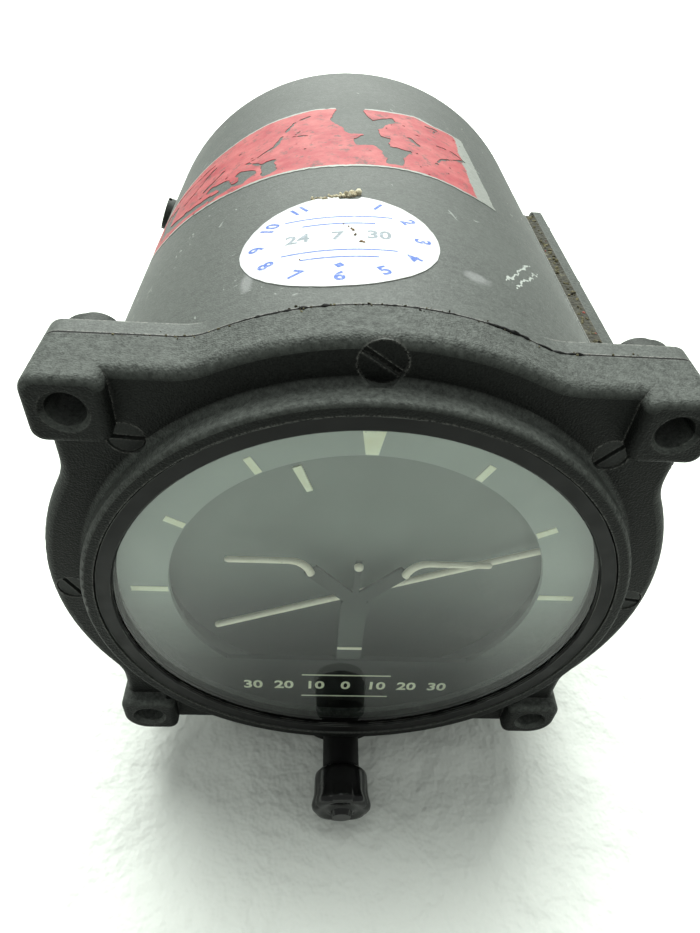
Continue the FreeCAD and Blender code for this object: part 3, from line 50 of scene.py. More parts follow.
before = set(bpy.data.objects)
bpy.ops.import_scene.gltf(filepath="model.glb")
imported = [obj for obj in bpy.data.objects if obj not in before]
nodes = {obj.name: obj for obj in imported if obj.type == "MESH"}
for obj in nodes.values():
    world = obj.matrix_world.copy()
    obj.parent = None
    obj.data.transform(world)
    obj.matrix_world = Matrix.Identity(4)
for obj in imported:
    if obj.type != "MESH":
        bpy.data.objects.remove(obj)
cad_low, cad_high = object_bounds()

# Places that the dressed pieces share with the solids, in millimetres
DRUM_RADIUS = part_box("case_shell")[1].z / MM
SEAM_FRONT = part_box("flange_gasket")[0].y / MM
SEAM_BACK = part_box("flange_gasket")[1].y / MM
MASK_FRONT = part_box("dial_mask")[0].y / MM
GLASS_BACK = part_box("cover_glass")[1].y / MM


# Wiring of shader and geometry trees

class Wiring:
    """Adds nodes to a tree. An input is a value, or the socket that feeds it."""

    def __init__(self, tree):
        self.tree = tree

    def add(self, kind, inputs=None, **settings):
        made = self.tree.nodes.new(kind)
        for key, value in settings.items():
            setattr(made, key, value)
        for key, value in (inputs or {}).items():
            self.feed(made.inputs[key], value)
        return made

    def feed(self, socket, value):
        if isinstance(value, bpy.types.NodeSocket):
            self.tree.links.new(value, socket)
        else:
            socket.default_value = value

    def maths(self, operation, *values):
        made = self.tree.nodes.new("ShaderNodeMath")
        made.operation = operation
        for index, value in enumerate(values):
            self.feed(made.inputs[index], value)
        return made.outputs[0]

    def mix(self, share, first, second):
        made = self.tree.nodes.new("ShaderNodeMix")
        made.data_type = "RGBA"
        self.feed(made.inputs[0], share)
        self.feed(made.inputs[6], first)
        self.feed(made.inputs[7], second)
        return made.outputs[2]

    def ramp(self, share, stops):
        made = self.tree.nodes.new("ShaderNodeValToRGB")
        self.feed(made.inputs[0], share)
        elements = made.color_ramp.elements
        while len(elements) < len(stops):
            elements.new(0.5)
        for element, (place, level) in zip(elements, stops):
            element.position = place
            element.color = (level, level, level, 1.0)
        return made.outputs[0]

    def noise(self, place, scale, detail=3.0, roughness=0.5):
        made = self.add("ShaderNodeTexNoise", {"Vector": place, "Scale": scale, "Detail": detail,
                                               "Roughness": roughness})
        return made.outputs[0]

    def place_on_piece(self):
        return self.add("ShaderNodeTexCoord").outputs["Object"]


def new_group(name, inputs, outputs):
    """A shader node group with named sockets, each given as a name, a kind and a value."""
    tree = bpy.data.node_groups.new(name, "ShaderNodeTree")
    for socket_name, kind, value in inputs:
        socket = tree.interface.new_socket(socket_name, in_out="INPUT", socket_type=kind)
        if value is not None:
            socket.default_value = value
    for socket_name, kind in outputs:
        tree.interface.new_socket(socket_name, in_out="OUTPUT", socket_type=kind)
    wires = Wiring(tree)
    return tree, wires, wires.add("NodeGroupInput").outputs, wires.add("NodeGroupOutput").inputs


FLOAT = "NodeSocketFloat"


def edge_wear_group():
    """Where paint is rubbed off an edge: the turned normal is compared with the true one and broken up."""
    tree, wires, given, wanted = new_group(
        "edge_wear", [("Reach", FLOAT, 0.0006), ("Break up", FLOAT, 900.0),
                      ("Amount", FLOAT, 0.5)], [("Worn", FLOAT)])
    bevel = wires.add("ShaderNodeBevel", {"Radius": given["Reach"]}, samples=6)
    true_normal = wires.add("ShaderNodeNewGeometry").outputs["Normal"]
    dot = wires.add("ShaderNodeVectorMath", {0: bevel.outputs[0], 1: true_normal}, operation="DOT_PRODUCT")
    turned = wires.maths("SUBTRACT", 1.0, dot.outputs["Value"])
    patches = wires.noise(wires.place_on_piece(), given["Break up"], 4.0, 0.65)
    level = wires.maths("MULTIPLY", turned, 6.0)
    broken = wires.maths("MULTIPLY", level, wires.ramp(patches, [(0.42, 0.0), (0.62, 1.0)]))
    wires.feed(wanted["Worn"], wires.maths("MINIMUM", wires.maths("MULTIPLY", broken, given["Amount"]), 1.0))
    return tree


def wrinkle_group():
    """The crinkled skin of wrinkle enamel, as a height and as a tone that is painted highlight on the crests
    and painted shade in the hollows.
    """
    tree, wires, given, wanted = new_group(
        "wrinkle_enamel", [("Size", FLOAT, 2400.0), ("Depth", FLOAT, 1.0)], [("Height", FLOAT),
                                                                             ("Relief_light_and_shade", FLOAT)])
    place = wires.place_on_piece()
    bend = wires.noise(place, given["Size"], 3.0)
    coarse = wires.noise(place, wires.maths("MULTIPLY", given["Size"], 0.35), 2.0)
    cells = wires.add("ShaderNodeTexVoronoi", {"Vector": place, "Scale": given["Size"], "Smoothness": 0.6},
                      feature="SMOOTH_F1")
    both = wires.maths("ADD", wires.maths("MULTIPLY", cells.outputs["Distance"], 0.6),
                       wires.maths("MULTIPLY", bend, 0.5))
    both = wires.maths("ADD", both, wires.maths("MULTIPLY", coarse, 0.3))
    wires.feed(wanted["Height"], wires.maths("MULTIPLY", both, given["Depth"]))
    # The tone follows the height: crests painted lighter and hollows painted darker, as painted light and shade
    # on the relief.
    wires.feed(wanted["Relief_light_and_shade"], wires.ramp(both, [(0.42, 0.0), (0.92, 1.0)]))
    return tree


def grime_group():
    """Slow changes of tone over a surface, with finer spots in them."""
    tree, wires, given, wanted = new_group(
        "grime", [("Size", FLOAT, 60.0), ("Spots", FLOAT, 700.0)], [("Cloud", FLOAT), ("Spot", FLOAT)])
    place = wires.place_on_piece()
    cloud = wires.noise(place, given["Size"], 6.0, 0.6)
    spots = wires.noise(place, given["Spots"], 2.0)
    wires.feed(wanted["Cloud"], wires.ramp(cloud, [(0.35, 0.0), (0.68, 1.0)]))
    wires.feed(wanted["Spot"], wires.ramp(spots, [(0.68, 0.0), (0.75, 1.0)]))
    return tree


def scratch_group():
    """Fine scratches: very long thin noise, kept where a second noise lets it show."""
    tree, wires, given, wanted = new_group(
        "scratches", [("Turn", FLOAT, 0.4), ("Density", FLOAT, 0.5),
                      ("Size", FLOAT, 1.0)], [("Scratch", FLOAT)])
    place = wires.place_on_piece()
    masks = []
    for turn, long_way in ((0.0, 26.0), (1.1, 34.0), (-0.7, 30.0)):
        angle = wires.add("ShaderNodeCombineXYZ", {2: wires.maths("ADD", given["Turn"], turn), 0: 0.35 * turn})
        turned = wires.add("ShaderNodeVectorRotate", {"Vector": place, "Rotation": angle.outputs[0]},
                           rotation_type="EULER_XYZ")
        stretched = wires.add("ShaderNodeVectorMath", {0: turned.outputs[0], 1: (1900.0, long_way, 1500.0)},
                              operation="MULTIPLY")
        sized = wires.add("ShaderNodeVectorMath", {0: stretched.outputs[0], 3: given["Size"]},
                          operation="SCALE")
        lines = wires.noise(sized.outputs[0], 1.0, 1.0)
        masks.append(wires.ramp(lines, [(0.72, 0.0), (0.76, 1.0)]))
    every = wires.maths("MAXIMUM", wires.maths("MAXIMUM", masks[0], masks[1]), masks[2])
    where = wires.noise(place, 55.0, 3.0)
    shown = wires.maths("GREATER_THAN", wires.maths("ADD", where, given["Density"]), 1.0)
    wires.feed(wanted["Scratch"], wires.maths("MULTIPLY", every, shown))
    return tree


def dust_group():
    """Chalky dulling and dust on faces that look up, thicker where the noise is high. The same pale layer is
    also a painted sheen that stands in for light from above.
    """
    tree, wires, given, wanted = new_group("dust_and_sheen", [("Amount", FLOAT, 0.3)], [("Dust_and_sheen_level", FLOAT)])
    facing = wires.add("ShaderNodeNewGeometry").outputs["Normal"]
    upward = wires.add("ShaderNodeSeparateXYZ", {0: facing}).outputs[2]
    specks = wires.noise(wires.place_on_piece(), 1500.0, 5.0, 0.75)
    raised = wires.maths("POWER", wires.maths("MAXIMUM", upward, 0.0), 0.7)
    # Faces that look up are made paler: partly dust, partly a painted sheen for the light from above.
    dust_and_sheen_mask = wires.maths("MULTIPLY", raised, wires.ramp(specks, [(0.35, 0.35), (0.70, 1.0)]))
    wires.feed(wanted["Dust_and_sheen_level"], wires.maths("MULTIPLY", dust_and_sheen_mask, given["Amount"]))
    return tree


EDGE_WEAR = edge_wear_group()
WRINKLE = wrinkle_group()
GRIME = grime_group()
SCRATCHES = scratch_group()
DUST_AND_SHEEN = dust_group()


class Finish(Wiring):
    """A material with one Principled shader, ready to be wired."""

    def __init__(self, name):
        self.material = bpy.data.materials.new(name)
        self.material.use_nodes = True
        super().__init__(self.material.node_tree)
        self.tree.nodes.clear()
        self.output = self.add("ShaderNodeOutputMaterial")
        self.shader = self.add("ShaderNodeBsdfPrincipled")
        self.tree.links.new(self.shader.outputs[0], self.output.inputs["Surface"])

    def group(self, tree, **values):
        made = self.add("ShaderNodeGroup", node_tree=tree)
        for key, value in values.items():
            self.feed(made.inputs[key.replace("_", " ")], value)
        return made.outputs

    def set(self, **values):
        for key, value in values.items():
            self.feed(self.shader.inputs[key.replace("_", " ")], value)

    def bump(self, height, strength, distance=0.0002, normal=None):
        made = self.add("ShaderNodeBump", {"Height": height, "Strength": strength, "Distance": distance})
        if normal is not None:
            self.feed(made.inputs["Normal"], normal)
        self.feed(self.shader.inputs["Normal"], made.outputs[0])
        return made.outputs[0]


def grey(level, tint=(1.0, 1.0, 1.0)):
    return (level * tint[0], level * tint[1], level * tint[2], 1.0)


ENAMEL_TINT = (0.92, 1.0, 0.92)
# Pale green-grey of dust and scratches, and of the painted sheen on faces that look up.
PALE_TINT = (0.93, 1.0, 0.93)


def painted_casting(name, level, wrinkle_size=4300.0, wrinkle_depth=1.0, wear=0.5, dust_and_sheen_amount=0.26, shine=0.10):
    """Wrinkle enamel on a casting, chalky where it looks up and bare at its worn edges. Faces that look up also
    carry a painted sheen for the light from above, and the wrinkles carry painted light and shade.
    """
    finish = Finish(name)
    skin = finish.group(WRINKLE, Size=wrinkle_size, Depth=wrinkle_depth)
    worn = finish.group(EDGE_WEAR, Reach=0.0005, Break_up=3600.0, Amount=wear)
    grime = finish.group(GRIME, Size=70.0, Spots=900.0)
    dust_and_sheen = finish.group(DUST_AND_SHEEN, Amount=dust_and_sheen_amount)
    # Painted highlight on the wrinkle crests and painted shade in their hollows.
    crest = finish.mix(skin["Relief_light_and_shade"], grey(level * 0.6, ENAMEL_TINT), grey(level * 1.7, ENAMEL_TINT))
    clouded = finish.mix(finish.maths("MULTIPLY", grime["Cloud"], 0.35), crest, grey(level * 1.9, ENAMEL_TINT))
    # Paler where the face looks up: dust, and a painted sheen for the light from above.
    with_dust_and_sheen = finish.mix(dust_and_sheen["Dust_and_sheen_level"], clouded, grey(0.34, PALE_TINT))
    bare = finish.mix(worn["Worn"], with_dust_and_sheen, grey(0.13, (1.0, 0.99, 0.93)))
    finish.set(Base_Color=bare, Roughness=finish.mix(worn["Worn"], grey(0.50), grey(0.36)),
               Specular_IOR_Level=shine)
    finish.bump(skin["Height"], 0.7, 0.00020)
    return finish


def place_on_drum(finish):
    """Millimetres round the drum from its top towards +X, and millimetres along it."""
    parts = finish.add("ShaderNodeSeparateXYZ", {0: finish.place_on_piece()}).outputs
    angle = finish.maths("ARCTAN2", parts[0], parts[2])
    return finish.maths("MULTIPLY", angle, DRUM_RADIUS), finish.maths("MULTIPLY", parts[1], 1.0 / MM)


def scribble(finish, round_mm, along_mm, centre, size, turn, line_gap):
    """A patch of scrawled scratches at one place on the drum: bent parallel lines inside a soft patch."""
    across = finish.maths("SUBTRACT", round_mm, centre[0])
    along = finish.maths("SUBTRACT", along_mm, centre[1])
    turned_a = finish.maths("ADD", finish.maths("MULTIPLY", across, math.cos(turn)),
                            finish.maths("MULTIPLY", along, math.sin(turn)))
    turned_b = finish.maths("SUBTRACT", finish.maths("MULTIPLY", along, math.cos(turn)),
                            finish.maths("MULTIPLY", across, math.sin(turn)))
    flat = finish.add("ShaderNodeCombineXYZ", {0: turned_a, 1: turned_b}).outputs[0]
    wave = finish.maths("ADD", finish.maths("MULTIPLY", turned_b, 2.0 * math.pi / line_gap),
                        finish.maths("MULTIPLY", finish.noise(flat, 0.55), 9.0))
    line = finish.maths("GREATER_THAN", finish.maths("SINE", wave), 0.82)
    inside_a = finish.maths("LESS_THAN", finish.maths("ABSOLUTE", turned_a), size[0] / 2.0)
    inside_b = finish.maths("LESS_THAN", finish.maths("ABSOLUTE", turned_b), size[1] / 2.0)
    kept = finish.maths("GREATER_THAN", finish.noise(flat, 1.3, 4.0), 0.40)
    inside = finish.maths("MULTIPLY", inside_a, inside_b)
    return finish.maths("MULTIPLY", finish.maths("MULTIPLY", line, inside), kept)


def rubbed_patch(finish, round_mm, along_mm, centre, radii):
    """A soft pale rub mark on the drum."""
    across = finish.maths("DIVIDE", finish.maths("SUBTRACT", round_mm, centre[0]), radii[0])
    along = finish.maths("DIVIDE", finish.maths("SUBTRACT", along_mm, centre[1]), radii[1])
    far = finish.maths("SQRT", finish.maths("ADD", finish.maths("MULTIPLY", across, across),
                                            finish.maths("MULTIPLY", along, along)))
    ragged = finish.noise(finish.place_on_piece(), 420.0, 6.0, 0.7)
    edge = finish.maths("ADD", finish.maths("SUBTRACT", 1.0, far), finish.maths("SUBTRACT", ragged, 0.5))
    return finish.ramp(edge, [(0.25, 0.0), (0.65, 1.0)])


def painted_drum():
    """Dull enamel on the drum: brushed over, scratched, and scrawled on at the right shoulder. Its top is paler
    with dust and a painted sheen, and its fine wrinkles carry painted light and shade.
    """
    finish = Finish("drum_enamel")
    round_mm, along_mm = place_on_drum(finish)
    skin = finish.group(WRINKLE, Size=4600.0, Depth=0.6)
    worn = finish.group(EDGE_WEAR, Reach=0.0005, Break_up=2600.0, Amount=0.5)
    grime = finish.group(GRIME, Size=42.0, Spots=620.0)
    # Dust on the top faces, which also serves as a painted sheen for the light from above.
    dust_and_sheen = finish.group(DUST_AND_SHEEN, Amount=0.045)
    scratch = finish.group(SCRATCHES, Turn=0.35, Density=0.46, Size=1.0)
    brushed_place = finish.add("ShaderNodeCombineXYZ", {0: finish.maths("MULTIPLY", round_mm, 0.05),
                                                        1: finish.maths("MULTIPLY", along_mm, 2.6)}).outputs[0]
    brushed = finish.ramp(finish.noise(brushed_place, 1.0, 4.0, 0.6), [(0.35, 0.0), (0.65, 1.0)])
    level = 0.060
    # Painted highlight on the wrinkle crests and painted shade in their hollows.
    tone = finish.mix(skin["Relief_light_and_shade"], grey(level * 0.45, ENAMEL_TINT), grey(level * 1.55, ENAMEL_TINT))
    pitted = finish.ramp(finish.noise(finish.place_on_piece(), 1150.0, 5.0, 0.7), [(0.46, 0.0), (0.60, 1.0)])
    tone = finish.mix(finish.maths("MULTIPLY", pitted, 0.55), tone, grey(level * 0.35, ENAMEL_TINT))
    streaked = finish.mix(finish.maths("MULTIPLY", brushed, 0.30), tone, grey(level * 1.6, ENAMEL_TINT))
    clouded = finish.mix(finish.maths("MULTIPLY", grime["Cloud"], 0.50), streaked,
                         grey(level * 1.45, ENAMEL_TINT))
    with_dust_and_sheen = finish.mix(dust_and_sheen["Dust_and_sheen_level"], clouded, grey(0.34, PALE_TINT))
    marks = finish.maths("MULTIPLY", scratch["Scratch"], 0.45)
    for centre, size, turn, gap in (((20.6, 26.5), (13.0, 2.6), 1.02, 1.5),
                                    ((16.2, 34.5), (7.0, 0.5), -0.25, 1.3)):
        marks = finish.maths("MAXIMUM", marks, scribble(finish, round_mm, along_mm, centre, size, turn, gap))
    rub = rubbed_patch(finish, round_mm, along_mm, (12.0, 18.5), (2.6, 2.0))
    rub = finish.maths("MAXIMUM", rub, rubbed_patch(finish, round_mm, along_mm, (-15.0, 16.5), (1.2, 4.0)))
    scratched = finish.mix(marks, with_dust_and_sheen, grey(0.36, PALE_TINT))
    rubbed = finish.mix(finish.maths("MULTIPLY", rub, 0.45), scratched, grey(0.26, (0.98, 1.0, 1.0)))
    bare = finish.mix(worn["Worn"], rubbed, grey(0.28, (1.0, 0.98, 0.90)))
    finish.set(Base_Color=bare, Roughness=finish.mix(grime["Cloud"], grey(0.52), grey(0.64)),
               Specular_IOR_Level=0.25)
    finish.bump(skin["Height"], 0.45, 0.00014)
    return finish


def plain_metal(name, colour, roughness, wear_depth=0.15, grain=900.0):
    """Machined or plated metal with a slight grain and cloudy tarnish."""
    finish = Finish(name)
    grime = finish.group(GRIME, Size=180.0, Spots=1800.0)
    stretched = finish.add("ShaderNodeMapping", {"Vector": finish.place_on_piece(), "Scale": (1.0, 6.0, 1.0)})
    lines = finish.noise(stretched.outputs[0], grain)
    dull = finish.mix(finish.maths("MULTIPLY", grime["Cloud"], 0.5), colour,
                      tuple(part * 0.55 for part in colour[:3]) + (1.0,))
    finish.set(Base_Color=dull, Metallic=1.0,
               Roughness=finish.mix(grime["Cloud"], grey(roughness), grey(min(1.0, roughness + 0.18))))
    finish.bump(lines, wear_depth, 0.00004)
    return finish


def plain_moulding(name, colour, roughness, speckle=0.2, wear=0.25, shine=0.5, pits=0.2):
    """Moulded plastic, rubber or sealant with a fine uneven skin."""
    finish = Finish(name)
    grime = finish.group(GRIME, Size=240.0, Spots=2200.0)
    worn = finish.group(EDGE_WEAR, Reach=0.0003, Break_up=1500.0, Amount=wear)
    lighter = tuple(min(1.0, part * 1.7 + 0.01) for part in colour[:3]) + (1.0,)
    tone = finish.mix(finish.maths("MULTIPLY", grime["Cloud"], speckle), colour, lighter)
    edge = finish.mix(worn["Worn"], tone, lighter)
    fine = finish.noise(finish.place_on_piece(), 2600.0)
    finish.set(Base_Color=edge, Specular_IOR_Level=shine,
               Roughness=finish.mix(grime["Cloud"], grey(roughness), grey(min(1.0, roughness + 0.12))))
    finish.bump(fine, pits, 0.00005)
    return finish


def retainer_finish():
    """Smooth black on the ring that holds the glass, worn to bare metal along its thin edge."""
    finish = Finish("retainer_satin_black")
    worn = finish.group(EDGE_WEAR, Reach=0.00018, Break_up=260.0, Amount=0.7)
    smudge = finish.noise(finish.place_on_piece(), 260.0, 4.0)
    finish.set(Base_Color=finish.mix(worn["Worn"], grey(0.004), grey(0.30, (0.96, 1.0, 0.92))),
               Metallic=worn["Worn"], Roughness=finish.ramp(smudge, [(0.3, 0.42), (0.7, 0.60)]),
               Specular_IOR_Level=0.14)
    return finish


def luminous_paint(name="luminous_cream", fresh=(0.95, 0.95, 0.78, 1.0), aged=(0.85, 0.83, 0.62, 1.0)):
    """Aged luminous paint: uneven, a little dirty, with pits."""
    finish = Finish(name)
    grime = finish.group(GRIME, Size=420.0, Spots=2600.0)
    pits = finish.noise(finish.place_on_piece(), 3200.0)
    warm = finish.mix(grime["Cloud"], fresh, aged)
    dirty = finish.mix(finish.maths("MULTIPLY", grime["Spot"], 0.5), warm, (0.35, 0.33, 0.24, 1.0))
    finish.set(Base_Color=dirty, Roughness=0.75)
    finish.bump(pits, 0.4, 0.00005)
    return finish


def dial_paint(name, level, foot_level=None, gradient_top=-6.0, gradient_foot=-16.0):
    """Fine matte instrument paint. Its tone can change with height, from one level at the top to another at the
    foot; on the mask and the sky plate this is painted shade, darker towards the foot of the dial.
    """
    finish = Finish(name)
    place = finish.place_on_piece()
    grime = finish.group(GRIME, Size=90.0, Spots=1500.0)
    tint = (0.93, 1.0, 0.95)
    if foot_level is None:
        foot_level = level
    # The change of tone with height is painted shade where the foot is darker: it stands in for light falling
    # off towards the foot of the dial.
    height = finish.add("ShaderNodeSeparateXYZ", {0: place}).outputs[2]
    fade = finish.add("ShaderNodeMapRange", {"Value": height, "From Min": gradient_foot * MM,
                                             "From Max": gradient_top * MM},
                      interpolation_type="SMOOTHSTEP")
    base = finish.mix(fade.outputs[0], grey(foot_level, tint), grey(level, tint))
    paler = finish.mix(fade.outputs[0], grey(foot_level * 1.3, tint), grey(level * 1.3, tint))
    tone = finish.mix(finish.maths("MULTIPLY", grime["Cloud"], 0.5), base, paler)
    specks = finish.mix(finish.maths("MULTIPLY", grime["Spot"], 0.06), tone, grey(0.5, tint))
    finish.set(Base_Color=specks, Roughness=0.85, Specular_IOR_Level=0.15)
    finish.bump(finish.noise(place, 900.0, 2.0), 0.02, 0.00002)
    return finish


def instrument_glass():
    """Clear flat glass. Shadow rays pass straight through, so that the dial behind it is lit."""
    finish = Finish("instrument_glass")
    smears = finish.noise(finish.place_on_piece(), 60.0, 5.0)
    finish.set(Base_Color=(0.93, 0.98, 0.95, 1.0), Transmission_Weight=1.0, IOR=1.42,
               Roughness=finish.ramp(smears, [(0.4, 0.0), (0.8, 0.03)]))
    clear = finish.add("ShaderNodeBsdfTransparent", {"Color": (0.93, 0.96, 0.95, 1.0)})
    shadow_ray = finish.add("ShaderNodeLightPath").outputs["Is Shadow Ray"]
    both = finish.add("ShaderNodeMixShader", {0: shadow_ray, 1: finish.shader.outputs[0], 2: clear.outputs[0]})
    finish.tree.links.new(both.outputs[0], finish.output.inputs["Surface"])
    return finish


def crumbling_cork():
    """Old cork and rubber gasket, brown, with dark pores and pale crumbs."""
    finish = Finish("crumbling_gasket")
    place = finish.place_on_piece()
    grains = finish.add("ShaderNodeTexVoronoi", {"Vector": place, "Scale": 1500.0})
    clumps = finish.noise(place, 500.0, 6.0, 0.7)
    tone = finish.mix(grains.outputs["Distance"], (0.016, 0.016, 0.012, 1.0), (0.055, 0.052, 0.038, 1.0))
    crumbs = finish.ramp(clumps, [(0.58, 0.0), (0.66, 1.0)])
    finish.set(Base_Color=finish.mix(crumbs, tone, (0.10, 0.094, 0.066, 1.0)), Roughness=0.95)
    finish.bump(finish.maths("ADD", clumps, grains.outputs["Distance"]), 0.9, 0.0003)
    return finish


def crumb_finish(name, pale, dark):
    """Crumbly dry stuff that changes tone from lump to lump."""
    finish = Finish(name)
    place = finish.place_on_piece()
    tone = finish.mix(finish.ramp(finish.noise(place, 900.0, 4.0, 0.7), [(0.38, 0.0), (0.62, 1.0)]), dark, pale)
    finish.set(Base_Color=tone, Roughness=0.92, Specular_IOR_Level=0.3)
    finish.bump(finish.noise(place, 5200.0, 3.0), 0.7, 0.00006)
    return finish


def label_foil():
    """Faded red ink on thin metal foil. The mesh says where ink is left, and the foil is bare elsewhere."""
    finish = Finish("faded_red_foil")
    place = finish.place_on_piece()
    left = finish.add("ShaderNodeAttribute", attribute_name="ink").outputs["Fac"]
    fine = finish.noise(place, 1500.0, 5.0, 0.7)
    edge = finish.maths("ADD", left, finish.maths("MULTIPLY", finish.maths("SUBTRACT", fine, 0.5), 1.3))
    ink = finish.ramp(edge, [(0.42, 0.0), (0.55, 1.0)])
    fade = finish.ramp(finish.noise(place, 210.0, 5.0, 0.7), [(0.36, 0.0), (0.64, 1.0)])
    rub = finish.ramp(finish.noise(place, 560.0, 6.0, 0.8), [(0.53, 0.0), (0.63, 1.0)])
    red = finish.mix(fade, (0.27, 0.026, 0.036, 1.0), (0.37, 0.085, 0.085, 1.0))
    grimy = finish.mix(finish.maths("MULTIPLY", rub, 0.80), red, (0.055, 0.045, 0.040, 1.0))
    foil = finish.mix(fine, (0.12, 0.125, 0.115, 1.0), (0.34, 0.36, 0.33, 1.0))
    bare = finish.maths("SUBTRACT", 1.0, ink)
    finish.set(Base_Color=finish.mix(ink, foil, grimy), Metallic=finish.maths("MULTIPLY", bare, 0.3),
               Roughness=finish.mix(ink, grey(0.45), grey(0.60)), Specular_IOR_Level=0.3)
    finish.bump(fine, 0.25, 0.00006)
    return finish


def paper_sticker():
    """Coated white paper, greyer in cloudy patches, with fibres and a few rust stains."""
    finish = Finish("white_paper")
    place = finish.place_on_piece()
    cloud = finish.noise(place, 110.0, 5.0, 0.6)
    white = finish.mix(finish.ramp(cloud, [(0.45, 0.0), (0.75, 1.0)]), (0.50, 0.51, 0.52, 1.0),
                       (0.42, 0.42, 0.39, 1.0))
    stain = finish.ramp(finish.noise(place, 420.0, 4.0, 0.7), [(0.70, 0.0), (0.76, 1.0)])
    stained = finish.mix(finish.maths("MULTIPLY", stain, 0.5), white, (0.34, 0.24, 0.13, 1.0))
    finish.set(Base_Color=stained, Roughness=0.55)
    finish.bump(finish.noise(place, 2600.0, 4.0), 0.15, 0.00004)
    return finish


def stamped_ink(name, colour):
    """Ink that is thin in places."""
    finish = Finish(name)
    thin = finish.ramp(finish.noise(finish.place_on_piece(), 2300.0, 4.0, 0.7), [(0.50, 0.0), (0.70, 1.0)])
    finish.set(Base_Color=finish.mix(finish.maths("MULTIPLY", thin, 0.6), colour, (0.44, 0.47, 0.54, 1.0)),
               Roughness=0.7)
    return finish


FINISHES = {
    # The enamels below are paler on faces that look up: dust, and a painted sheen for the light from above.
    "casting": painted_casting("casting_wrinkle_enamel", 0.006, dust_and_sheen_amount=0.34, shine=0.07),
    "drum": painted_drum(),
    "cover_plate": painted_casting("side_cover_enamel", 0.035, wrinkle_depth=0.7, dust_and_sheen_amount=0.16),
    "screw": painted_casting("painted_screw", 0.010, wrinkle_depth=0.2, wear=0.25, dust_and_sheen_amount=0.16),
    "nut": painted_casting("nut_enamel", 0.015, wrinkle_depth=0.4, wear=0.5, dust_and_sheen_amount=0.15),
    "steel": plain_metal("plated_steel", (0.46, 0.46, 0.44, 1.0), 0.38),
    "shaft": plain_metal("ground_steel", (0.62, 0.62, 0.60, 1.0), 0.22),
    "bearing": plain_metal("bearing_steel", (0.70, 0.70, 0.70, 1.0), 0.15),
    "aluminium": plain_metal("machined_aluminium", (0.68, 0.69, 0.68, 1.0), 0.36),
    "brass": plain_metal("turned_brass", (0.70, 0.53, 0.27, 1.0), 0.30),
    "gold": plain_metal("gold_contact", (0.86, 0.66, 0.32, 1.0), 0.22),
    "rubber": plain_moulding("black_sealant", (0.004, 0.004, 0.004, 1.0), 0.6, shine=0.12),
    "cork": crumbling_cork(),
    "ring": retainer_finish(),
    "satin": plain_moulding("satin_black", (0.004, 0.004, 0.004, 1.0), 0.45, speckle=0.3, wear=0.1, shine=0.12),
    "knob": plain_moulding("knob_moulding", (0.003, 0.003, 0.003, 1.0), 0.17, speckle=0.3, wear=0.1,
                           shine=0.30, pits=0.1),
    "phenolic": plain_moulding("brown_phenolic", (0.09, 0.05, 0.03, 1.0), 0.45),
    "winding": plain_moulding("varnished_winding", (0.30, 0.11, 0.04, 1.0), 0.32, speckle=0.6),
    # The mask and the sky plate are painted darker towards the foot of the dial: painted shade, standing in for
    # the fall of light there. The sky plate's painted shade turns with the plate when the gyro rolls.
    "mask": dial_paint("dial_mask_paint_and_painted_shade", 0.34, foot_level=0.004, gradient_top=6.0, gradient_foot=-21.0),
    "sky": dial_paint("sky_plate_paint_and_painted_shade", 0.215, foot_level=0.014, gradient_top=12.0, gradient_foot=-17.0),
    "post": dial_paint("airplane_post_paint", 0.065, foot_level=0.075, gradient_top=-2.0, gradient_foot=-9.0),
    "ivory": luminous_paint("ivory_paint", (1.0, 0.93, 0.80, 1.0), (0.90, 0.82, 0.68, 1.0)),
    "cream": luminous_paint(),
    "glass": instrument_glass(),
    "foil": label_foil(),
    "paper": paper_sticker(),
    "blue_ink": stamped_ink("blue_ink", (0.045, 0.10, 0.36, 1.0)),
    "grey_ink": stamped_ink("grey_ink", (0.17, 0.20, 0.22, 1.0)),
    "glue": crumb_finish("dry_glue", (0.60, 0.56, 0.42, 1.0), (0.24, 0.19, 0.11, 1.0)),
    "rust": crumb_finish("rust_stain", (0.26, 0.16, 0.07, 1.0), (0.05, 0.04, 0.03, 1.0)),
    "seam_crumbs": crumb_finish("seam_crumbs", (0.15, 0.135, 0.075, 1.0), (0.012, 0.011, 0.008, 1.0)),
    "white_crumbs": crumb_finish("white_crumbs", (0.85, 0.86, 0.84, 1.0), (0.55, 0.56, 0.54, 1.0)),
    "red_crumbs": crumb_finish("red_crumbs", (0.40, 0.10, 0.08, 1.0), (0.16, 0.04, 0.03, 1.0)),
}

